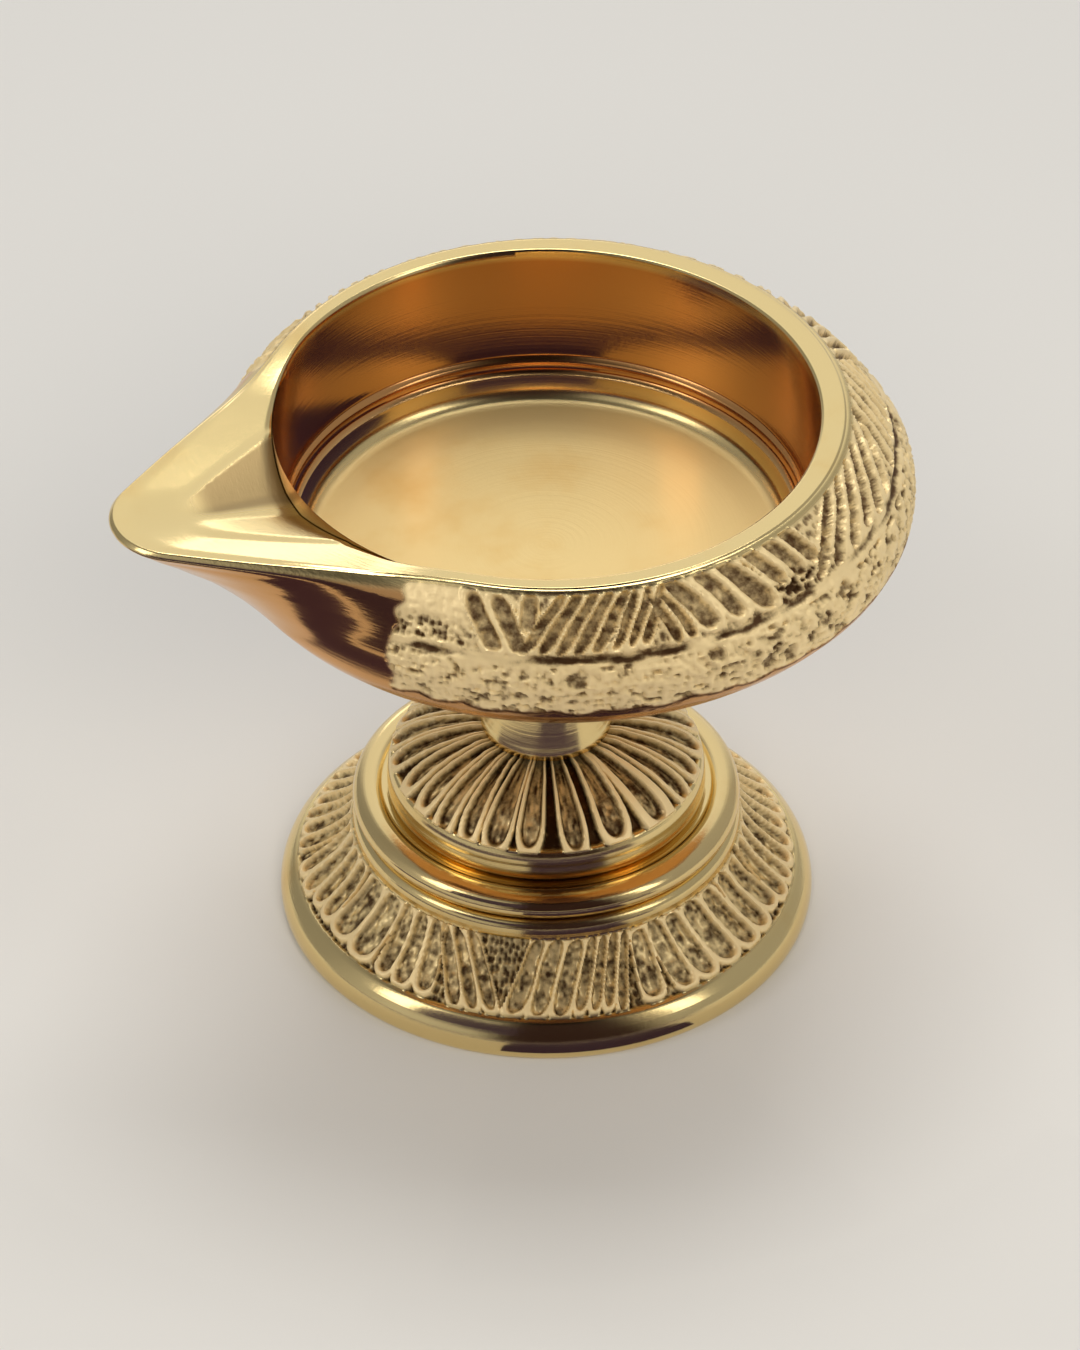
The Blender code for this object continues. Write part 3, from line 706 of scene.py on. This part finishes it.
    scallops = np.abs(np.sin(np.radians(deg) * 24.0))
    edge_depth = 13.1 + 0.5 * scallops + 0.35 * lattice_noise(u, deg * 0, 90, 3)
    band = worked * smoothstep(7.1, 7.6, depth)
    band = band * (1.0 - smoothstep(edge_depth - 0.15, edge_depth + 0.15, depth))
    blots = 0.7 * lattice_noise(u, depth * 0.8, 170, 41) + 0.6 * grain
    marks = smoothstep(0.58, 0.18, punch_marks(u, depth * 1.25, 270, 42))
    pits = band * np.clip(marks * (0.55 + 0.5 * grain) + 0.8 * smoothstep(0.20, 0.75, blots), 0.0, 1.0)
    leaf = strokes(deg + 2.0 * wobble, (depth - 7.4) / 5.6, BAND_FANS, 43) * band
    raised = band * (0.04 + 0.12 * fine_grain)

    line_strength = 0.15 + 0.85 * smoothstep(-0.5, 0.2, lattice_noise(u, depth * 0.8, 70, 51))
    line_depth = 6.65 + 0.28 * lattice_noise(u, deg * 0, 90, 52)
    line = worked * line_strength * np.exp(-((depth - line_depth) / 0.50) ** 2)

    lift = 0.20 * edges - 0.95 * cuts - 0.26 * ground - 0.30 * crumble - 0.60 * line
    lift = lift + raised - 0.55 * pits - 0.40 * leaf + 0.10 * cuts * (fine_grain + grain)
    lift = lift + worked * (0.055 * fine_grain + 0.05 * grain) * smoothstep(0.8, 1.4, depth)
    lift = np.minimum(lift, 0.22 * (1.0 - smoothstep(6.4, 7.4, depth)))
    radius, height = lean_out(base_r, base_z, lift)
    dark = 0.66 * cuts + 0.95 * line + 0.55 * pits + 0.40 * ground
    dark = dark + 0.22 * bare + 0.3 * crumble + 0.45 * leaf
    dark = np.clip(dark * (1.0 + 0.35 * grain + 0.15 * fine_grain), 0.0, 1.0)
    # Painted shade: a dark strip just below the band's scalloped edge
    shade_under_edge = worked * smoothstep(edge_depth - 0.05, edge_depth + 0.25, depth) * (
        1.0 - smoothstep(edge_depth + 0.3, edge_depth + 0.9, depth)
    )
    dark = np.maximum(dark, 0.7 * shade_under_edge)
    chased = worked * smoothstep(0.0, 0.06, t)
    chased = chased * (1.0 - smoothstep(edge_depth - 0.15, edge_depth + 0.15, depth))
    pale = chased * (1.0 - 0.75 * dark)
    # The plain outside beside the spout is darkened with painted shade
    skin.grid(
        Skin.spread(fine[None, :], radius, height),
        cut=dark, pale=pale, polish=1.0 - worked,
        tarnish=0.9 * (1.0 - chased) * smoothstep(0.6, 2.0, depth),
    )

    # underside, seat, spigot and tapped hole
    tail = rows[rows[:, 0] >= CARVED_DEPTH]
    tail = np.concatenate([tail[:-4:7], tail[-1:]])
    low_r = outline_rows(tail, plain)
    # The underside is darkened with painted shade
    skin.band(low_r, np.broadcast_to(RIM_Z - tail[:, :1], low_r.shape), tarnish=0.9)
    seat = RIM_Z - SEAT_DEPTH
    skin.band(np.array([11.1, SPIGOT_R + 0.1, SPIGOT_R]), np.array([seat, seat, seat - 0.1]), PLAIN_SIDES)
    spigot = np.array([
        (SPIGOT_R, SPIGOT_Z + 0.4), (SPIGOT_R - 0.4, SPIGOT_Z), (SPIGOT_BORE_R, SPIGOT_Z),
        (SPIGOT_BORE_R, seat - 0.6), (TAPPED_ROOT_R, seat),
    ])
    skin.band(spigot[:, 0], spigot[:, 1], BORE_SIDES)
    skin.band(*tapped_rows(seat, HOLE_TOP_Z))
    skin.cap(HOLE_TOP_Z + 0.8)
    skin.start_cap(RIM_Z - WELL_DEPTH)
    bowl = skin.make("brass_oil_bowl", cast_brass)
    stand_in(bowl, "bowl", "oil_bowl")


# ---------------------------------------------------------------- pedestal

# The tables of turned outsides and insides hold height above the piece's seat, radius

COUNTERBORE_Z = 42.7
COUNTERBORE_R = 6.3


def make_neck():
    """The waisted collar, counterbored from above for the bowl's spigot."""
    skin = Skin()
    outside = [
        (0.0, 8.1), (0.35, 8.35), (0.9, 8.4), (2.0, 8.1), (4.6, 7.6), (8.2, 7.3),
        (12.0, 7.7), (15.4, 8.9), (17.8, 10.6), (19.2, 11.2), (19.7, 10.9),
    ]
    rows = smooth_rows(outside, 0.35)
    skin.band(rows[:, 1], NECK_Z + rows[:, 0], NECK_SIDES)
    bore = np.array([
        (COUNTERBORE_R, NECK_TOP_Z), (COUNTERBORE_R, COUNTERBORE_Z),
        (CLEARANCE_R, COUNTERBORE_Z), (CLEARANCE_R, NECK_Z),
    ])
    skin.band(bore[:, 0], bore[:, 1], BORE_SIDES)
    skin.close()
    piece = skin.make("brass_neck_collar", turned_brass)
    stand_in(piece, "neck", "neck_collar")


# Fans of outlined() on the dome, as on the shoulder
DOME_FANS = (
    (-8.0, 17.0, 2, 3.0, 0.0, -0.08, 0.93, 0.46, 0.21),
    (17.0, 40.0, 2, 3.0, 0.0, -0.08, 0.96, 0.46, 0.21),
    (40.0, 66.5, 2, -1.0, 0.0, -0.08, 0.97, 0.60, 0.16),
    (70.5, 84.0, 1, 1.0, 0.0, -0.08, 0.97, 0.56, 0.17),
    (86.5, 104.0, 1, -3.0, 0.0, -0.08, 0.96, 0.58, 0.17),
    (103.5, 122.0, 1, 2.0, 0.0, -0.08, 0.92, 0.44, 0.26),
    (123.0, 149.0, 2, 1.0, 0.0, -0.08, 0.93, 0.54, 0.19),
    (150.0, 177.0, 2, 3.0, 0.0, -0.08, 0.95, 0.54, 0.19),
    (178.0, 217.0, 3, -3.0, 0.0, -0.08, 0.95, 0.58, 0.17),
    (218.0, 257.0, 3, 3.0, 0.0, -0.08, 0.95, 0.58, 0.17),
    (258.0, 284.0, 2, -3.0, 0.0, -0.08, 0.95, 0.58, 0.17),
    (285.0, 324.0, 3, 3.0, 0.0, -0.08, 0.95, 0.58, 0.17),
    (325.0, 351.0, 2, -2.0, 0.0, -0.08, 0.95, 0.58, 0.17),
)

FLUTE_TOP_R = 8.6
FLUTE_END_R = 20.05
DOME_BAND_TOP = 4.3


def make_dome():
    """The hollow dome, fluted from the neck down to a plain band at its base."""
    skin = Skin()
    angle = np.arange(DOME_SIDES) / DOME_SIDES * TAU
    deg = np.degrees(angle)[None, :]
    u = deg / 360.0
    outside = [
        (9.3, 9.2), (9.25, 9.7), (8.95, 11.0), (8.1, 14.0), (6.7, 16.9), (5.1, 19.0),
        (4.0, 20.0), (3.2, 20.3), (2.2, 20.35), (1.2, 20.45), (0.5, 20.4), (0.0, 20.0),
    ]
    rows = smooth_rows(outside, 0.2)
    height = rows[:, :1]
    radius = np.broadcast_to(rows[:, 1:2], (len(rows), DOME_SIDES))
    t = np.clip((rows[:, 1:2] - FLUTE_TOP_R) / (FLUTE_END_R - FLUTE_TOP_R), 0.0, 1.0)
    t = np.where(height < DOME_BAND_TOP, 1.0 + (DOME_BAND_TOP - height) / 6.0, t)
    wobble = 0.5 * lattice_noise(u, height * 0.3, 40, 71)
    groove, edge = outlined(deg + wobble, t, DOME_FANS, 72)
    zone = smoothstep(0.0, 0.03, t) * (1.0 - smoothstep(1.0, 1.03, t))
    rough = lattice_noise(u, height * 2.2, 300, 73)
    mottle = lattice_noise(u, height * 1.1, 170, 74)
    between = zone * (1.0 - np.clip(groove + edge, 0.0, 1.0)) * (1.0 - smoothstep(0.93, 0.99, t))
    lift = zone * (0.28 * edge - 0.80 * groove) - 0.70 * between
    lift = lift + 0.10 * (rough + mottle) * groove * zone
    r, z = lean_out(radius, DOME_Z + np.broadcast_to(height, radius.shape), lift)
    dark = zone * groove * (0.48 + 0.34 * rough + 0.18 * mottle) + 0.9 * between
    dark = np.clip(dark, 0.0, 1.0)
    pale = zone * np.clip(edge + 0.6 * groove, 0.0, 1.0) * (1.0 - 0.7 * dark)
    plain = smoothstep(1.0, 1.05, t)
    skin.grid(Skin.spread(angle[None, :], r, z), cut=dark, pale=pale, polish=plain)
    inner = smooth_rows([(0.0, 18.0), (3.2, 16.8), (5.2, 13.4), (6.6, 8.0), (6.9, CLEARANCE_R)], 0.8)
    skin.band(inner[:, 1], DOME_Z + inner[:, 0], INNER_SIDES)
    hole = np.array([DOME_Z + 6.9, DOME_Z + 9.3])
    skin.band(np.full(2, CLEARANCE_R), hole, INNER_SIDES)
    skin.close()
    piece = skin.make("brass_fluted_dome", dome_brass)
    stand_in(piece, "pedestal", "pedestal_dome")


RING_HOLE_R = 14.0
RING_TOP = 2.8


def make_bead():
    """The bright ring between the dome and the foot, open in the middle."""
    skin = Skin()
    outside = [
        (RING_TOP, 20.9), (RING_TOP, 21.15), (3.0, 21.5), (3.2, 22.1), (3.18, 22.8), (3.0, 23.6),
        (2.5, 24.4), (1.9, 24.8), (1.4, 24.9), (0.9, 24.8), (0.5, 24.5), (0.15, 24.1), (0.0, 23.8),
    ]
    rows = smooth_rows(outside, 0.16)
    skin.band(rows[:, 1], RING_Z + rows[:, 0], RING_SIDES, polish=1.0)
    skin.band(np.full(2, RING_HOLE_R), np.array([RING_Z, RING_Z + RING_TOP]), RING_SIDES)
    skin.close()
    piece = skin.make("brass_bead_ring", ring_brass)
    stand_in(piece, "pedestal", "bead_ring")


# Fans of outlined() on the foot's flange, as on the shoulder
FOOT_FANS = (
    (-21.0, 3.0, 4, 3.0, 0.0, 0.06, 0.92, 0.72, 0.24),
    (3.6, 20.7, 2, 0.0, 0.0, 0.04, 0.93, 0.76, 0.24),
    (20.7, 37.5, 3, 3.0, 0.0, 0.03, 0.95, 0.75, 0.24),
    (37.5, 51.3, 3, 10.0, 0.0, 0.03, 0.96, 0.74, 0.24),
    (58.6, 75.3, 3, -6.0, 0.0, 0.03, 0.97, 0.75, 0.24),
    (75.3, 88.6, 4, -6.0, 0.0, 0.03, 0.97, 0.70, 0.24),
    (89.8, 96.6, 1, -2.0, 0.0, 0.10, 0.95, 0.68, 0.24),
    (96.6, 109.4, 2, 3.0, 0.0, 0.04, 0.95, 0.75, 0.24),
    (109.4, 125.3, 2, 3.0, 0.0, 0.04, 0.92, 0.74, 0.22),
    (125.3, 139.0, 2, 1.0, 0.0, 0.06, 0.90, 0.72, 0.24),
    (140.0, 176.0, 6, -4.0, 0.0, 0.06, 0.92, 0.72, 0.24),
    (177.0, 206.0, 5, -6.0, 0.0, 0.05, 0.95, 0.74, 0.24),
    (207.0, 236.0, 5, 5.0, 0.0, 0.05, 0.95, 0.74, 0.24),
    (237.0, 268.0, 6, -5.0, 0.0, 0.05, 0.95, 0.74, 0.24),
    (269.0, 300.0, 5, 5.0, 0.0, 0.05, 0.95, 0.74, 0.24),
    (301.0, 338.0, 7, -4.0, 0.0, 0.05, 0.95, 0.74, 0.24),
)

FLANGE_TOP = 12.15
FLANGE_LOW = 5.4


def make_foot():
    """The hollow foot: turned collar, carved flange and polished rim, from the top down."""
    skin = Skin()
    angle = np.arange(FINE_SIDES) / FINE_SIDES * TAU
    deg = np.degrees(angle)[None, :]
    u = deg / 360.0
    outside = [
        (14.5, 23.8), (14.35, 24.3), (13.9, 24.75), (13.2, 24.95), (12.6, 24.95), (12.1, 24.95),
        (11.6, 25.1), (11.2, 25.35), (10.4, 25.95), (9.6, 26.6), (7.8, 28.6), (6.2, 30.8),
        (5.3, 32.1), (4.5, 33.1), (3.4, 34.0), (2.2, 34.42), (1.4, 34.45), (0.6, 34.25), (0.0, 33.8),
    ]
    rows = smooth_rows(outside, 0.2)
    height = rows[:, :1]
    radius = np.broadcast_to(rows[:, 1:2], (len(rows), FINE_SIDES))
    t = (FLANGE_TOP - height) / (FLANGE_TOP - FLANGE_LOW)
    wobble = 0.4 * lattice_noise(u, height * 0.3, 50, 81)
    groove, edge = outlined(deg + wobble, t, FOOT_FANS, 82)
    zone = smoothstep(0.0, 0.04, t) * (1.0 - smoothstep(0.99, 1.03, t))
    bare = zone * (1.0 - np.clip(groove + edge, 0.0, 1.0))
    pits = smoothstep(0.6, 0.15, punch_marks(u, height * 1.2, 240, 83)) * bare
    line = np.exp(-((height - 5.2) / 0.2) ** 2)
    rough = lattice_noise(u, height * 2.4, 330, 84)
    mottle = lattice_noise(u, height * 1.2, 180, 85)
    lift = zone * (0.30 * edge - 0.65 * groove) - 0.30 * pits - 0.30 * bare - 0.14 * line
    lift = lift + zone * (0.02 + 0.09 * groove) * (rough + mottle)
    r, z = lean_out(radius, np.broadcast_to(height, radius.shape), lift)
    dark = zone * groove * (0.43 + 0.36 * rough + 0.18 * mottle)
    dark = np.clip(dark + 0.4 * bare + 0.4 * pits + 0.35 * line, 0.0, 1.0)
    pale = zone * np.clip(edge + 0.6 * groove + 0.5 * bare, 0.0, 1.0) * (1.0 - 0.7 * dark)
    skin.grid(Skin.spread(angle[None, :], r, z), cut=dark, pale=pale, polish=1.0 - zone)
    inner = np.array([
        (0.0, 31.4), (2.0, 31.4), (4.0, 29.8), (7.2, 25.8), (9.6, 23.2), (11.6, 22.2), (12.3, 21.0),
    ])
    skin.band(inner[:, 1], inner[:, 0], INNER_SIDES)
    skin.band(np.full(2, CLEARANCE_R), np.array([12.3, 14.5]), INNER_SIDES)
    skin.close()
    piece = skin.make("brass_foot", foot_brass)
    stand_in(piece, "pedestal", "pedestal_foot")


make_bowl()
make_neck()
make_dome()
make_bead()
make_foot()

# The hidden fasteners keep their CAD shapes and only get a finish
for node, finish in (
    ("tie_stud", rod_brass), ("flat_washer", rod_brass), ("hex_nut", rod_brass), ("spring_washer", steel)
):
    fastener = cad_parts[node]
    fastener.data.materials.clear()
    fastener.data.materials.append(finish)

# ---------------------------------------------------------------- floor, lights, camera

AZIMUTH = math.radians(23.72)
ELEVATION = math.radians(38.46)
DISTANCE = 0.915
AIM = Vector((AXIS_X * MM, 0.0, 0.04))


def around(degrees, elevation, distance, height=AIM.z):
    """A point round the lamp, in degrees from the camera's side, growing to the right."""
    turn = AZIMUTH - math.radians(degrees)
    rise = math.radians(elevation)
    reach = math.cos(rise) * distance
    up = math.sin(rise) * distance
    return Vector((AIM.x - math.sin(turn) * reach, -math.cos(turn) * reach, height + up))


def plain_finish(name, colour, rough):
    """One colour, not metal."""
    finish = bpy.data.materials.new(name)
    finish.use_nodes = True
    shader = finish.node_tree.nodes["Principled BSDF"]
    shader.inputs["Base Color"].default_value = (*colour, 1.0)
    shader.inputs["Roughness"].default_value = rough
    return finish


def sheet(name, corners, finish, faces=None):
    """A flat piece of the studio, one face unless faces are given."""
    data = bpy.data.meshes.new(name)
    data.from_pydata(corners, [], faces or [tuple(range(len(corners)))])
    data.materials.append(finish)
    made = bpy.data.objects.new(name, data)
    bpy.context.scene.collection.objects.link(made)
    return made


def softbox(name, place, size, radiance, colour):
    """A rectangular light aimed at the lamp, given by how bright its face looks."""
    data = bpy.data.lights.new(name, "AREA")
    data.shape = "RECTANGLE"
    data.size, data.size_y = size
    data.energy = radiance * math.pi * size[0] * size[1]
    data.color = colour
    light = bpy.data.objects.new(name, data)
    bpy.context.scene.collection.objects.link(light)
    light.location = place
    light.rotation_euler = (AIM - place).to_track_quat("-Z", "Y").to_euler()
    return light


def reflected_only(card):
    """Dark sheets of painted shade leave dark patches, painted reflections, in the polished brass and are
    not seen themselves.
    """
    card.visible_camera = False
    card.visible_diffuse = False
    card.visible_shadow = False


def wedge(name, start, end, near, far, height, finish):
    """A level sector of a ring round the lamp, seen only in reflections."""
    steps = [start + (end - start) * k / 12 for k in range(13)]
    corners = [around(d, 0.0, near, height) for d in steps]
    corners += [around(d, 0.0, far, height) for d in steps]
    count = len(steps)
    faces = [(k, k + count, k + count + 1, k + 1) for k in range(count - 1)]
    reflected_only(sheet(name, corners, finish, faces))


def one_way(name, colour):
    """A dark sheet of painted shade that is only there for light from its upper side."""
    finish = plain_finish(name, colour, 0.9)
    tree = finish.node_tree
    side = tree.nodes.new("ShaderNodeNewGeometry").outputs["Backfacing"]
    clear = tree.nodes.new("ShaderNodeBsdfTransparent")
    mixed = tree.nodes.new("ShaderNodeMixShader")
    tree.links.new(side, mixed.inputs[0])
    tree.links.new(tree.nodes["Principled BSDF"].outputs[0], mixed.inputs[1])
    tree.links.new(clear.outputs[0], mixed.inputs[2])
    tree.links.new(mixed.outputs[0], tree.nodes["Material Output"].inputs["Surface"])
    return finish


floor_corners = [(-3, -3, 0), (3, -3, 0), (3, 3, 0), (-3, 3, 0)]
sheet("floor", floor_corners, plain_finish("pale_floor", (0.74, 0.73, 0.71), 0.7))

# Painted shade, seen only in reflections: dark sheets on the floor before the lamp, one on end beside the
# spout and two in the well
shade_sheet = plain_finish("shade_sheet", (0.05, 0.030, 0.09), 0.9)
one_way_shade_sheet = one_way("one_way_shade_sheet", (0.04, 0.022, 0.08))
ON_FLOOR = 0.0004
WELL_CLOTH_Z = RIM_Z * MM - 0.0206
wedge("near_shade_sheet", -10.0, 34.0, 0.0352, 0.075, ON_FLOOR, shade_sheet)
wedge("spout_shade_sheet", -82.0, -16.0, 0.085, 0.36, ON_FLOOR, shade_sheet)
wedge("front_shade_sheet", -16.0, 54.0, 0.078, 0.45, ON_FLOOR, shade_sheet)
wedge("well_side_shade_sheet", -146.0, -96.0, 0.016, 0.0305, WELL_CLOTH_Z, one_way_shade_sheet)
middle = [
    around(a, 0.0, r * MM, WELL_CLOTH_Z)
    for a, r in ((-176.0, 15.0), (177.0, 15.0), (169.0, 31.0), (-161.0, 31.0))
]
reflected_only(sheet("well_shade_sheet", middle, one_way_shade_sheet))
flag = [around(d, 0.0, 0.16, z) for d, z in ((-54, 0.066), (-12, 0.066), (-12, 0.15), (-54, 0.15))]
reflected_only(sheet("dark_flag", flag, shade_sheet))

softbox("left_softbox", around(-66, 40, 1.1), (0.30, 0.5), 2.2, (1.0, 0.97, 0.92))
softbox("right_softbox", around(62, 40, 1.1), (0.22, 0.5), 2.2, (1.0, 0.97, 0.92))
softbox("overhead", around(178, 69, 1.2), (0.65, 0.5), 5.0, (1.0, 0.99, 0.96))
softbox("back_softbox", around(-172, 18, 1.2), (0.40, 0.16), 1.6, (1.0, 0.99, 0.96))
fill = softbox("front_fill", around(8, 40, 1.3), (0.9, 0.5), 6.0, (1.0, 0.93, 0.80))
fill.visible_glossy = False

# Brightness of the studio walls, by degrees round from the camera's side, growing to the
# right.  The first two are the ends of the scale.
SKY = (
    (-180.0, 0.86), (180.0, 0.86), (-158.0, 0.80), (-144.0, 0.32), (-128.0, 0.28), (-100.0, 0.30),
    (-60.0, 0.55), (-28.0, 0.42), (-16.0, 0.03), (36.0, 0.03), (50.0, 0.40), (74.0, 0.36),
    (92.0, 0.38), (144.0, 0.42), (160.0, 0.80),
)
# Tint of the dark stops
SHADE = (1.0, 0.55, 0.62)
# The walls fade to TOP_SHARE of their brightness between these degrees of elevation
FADE_START = 54
FADE_END = 68
TOP_SHARE = 0.22


def make_world():
    """Soft light from behind and above, with a gap in it before the lamp."""
    world = bpy.data.worlds.new("studio")
    world.use_nodes = True
    tree = world.node_tree
    sky = tree.nodes["Background"]

    def op(operation, *items):
        made = tree.nodes.new("ShaderNodeMath")
        made.operation = operation
        for slot, item in zip(made.inputs, items):
            if isinstance(item, (int, float)):
                slot.default_value = item
            else:
                tree.links.new(item, slot)
        return made.outputs[0]

    coords = tree.nodes.new("ShaderNodeTexCoord").outputs["Generated"]

    def toward(degrees):
        aim = around(degrees, 0.0, 1.0) - AIM
        made = tree.nodes.new("ShaderNodeVectorMath")
        made.operation = "DOT_PRODUCT"
        tree.links.new(coords, made.inputs[0])
        made.inputs[1].default_value = aim.normalized()
        return made.outputs["Value"]

    turn = op("ARCTAN2", toward(90), toward(0))
    share = op("ADD", op("DIVIDE", turn, TAU), 0.5)
    ramp = tree.nodes.new("ShaderNodeValToRGB")
    tree.links.new(share, ramp.inputs["Fac"])
    stops = ramp.color_ramp.elements
    for index, (degrees, bright) in enumerate(SKY):
        place = degrees / 360.0 + 0.5
        stop = stops[index] if index < 2 else stops.new(place)
        stop.position = place
        stop.color = tuple(bright if bright > 0.2 else bright * tint for tint in SHADE) + (1.0,)
    tree.links.new(ramp.outputs["Color"], sky.inputs["Color"])
    split = tree.nodes.new("ShaderNodeSeparateXYZ")
    tree.links.new(coords, split.inputs[0])
    fade = tree.nodes.new("ShaderNodeMapRange")
    fade.interpolation_type = "SMOOTHSTEP"
    fade.inputs["From Min"].default_value = math.sin(math.radians(FADE_START))
    fade.inputs["From Max"].default_value = math.sin(math.radians(FADE_END))
    fade.inputs["To Min"].default_value = 1.0
    fade.inputs["To Max"].default_value = TOP_SHARE
    tree.links.new(split.outputs["Z"], fade.inputs["Value"])
    tree.links.new(fade.outputs["Result"], sky.inputs["Strength"])
    bpy.context.scene.world = world


make_world()

LENS = 240.855
LENS_SHIFT = (-0.005796, -0.028426)

lens = bpy.data.cameras.new("photo_camera")
lens.sensor_fit = "HORIZONTAL"
lens.sensor_width = 36.0
lens.lens = LENS
lens.shift_x, lens.shift_y = LENS_SHIFT
lens.clip_start = 0.01
camera = bpy.data.objects.new("photo_camera", lens)
bpy.context.scene.collection.objects.link(camera)
camera.location = around(0, math.degrees(ELEVATION), DISTANCE)
camera.rotation_euler = (AIM - camera.location).to_track_quat("-Z", "Y").to_euler()
bpy.context.scene.camera = camera
bpy.context.scene.view_settings.view_transform = "Standard"
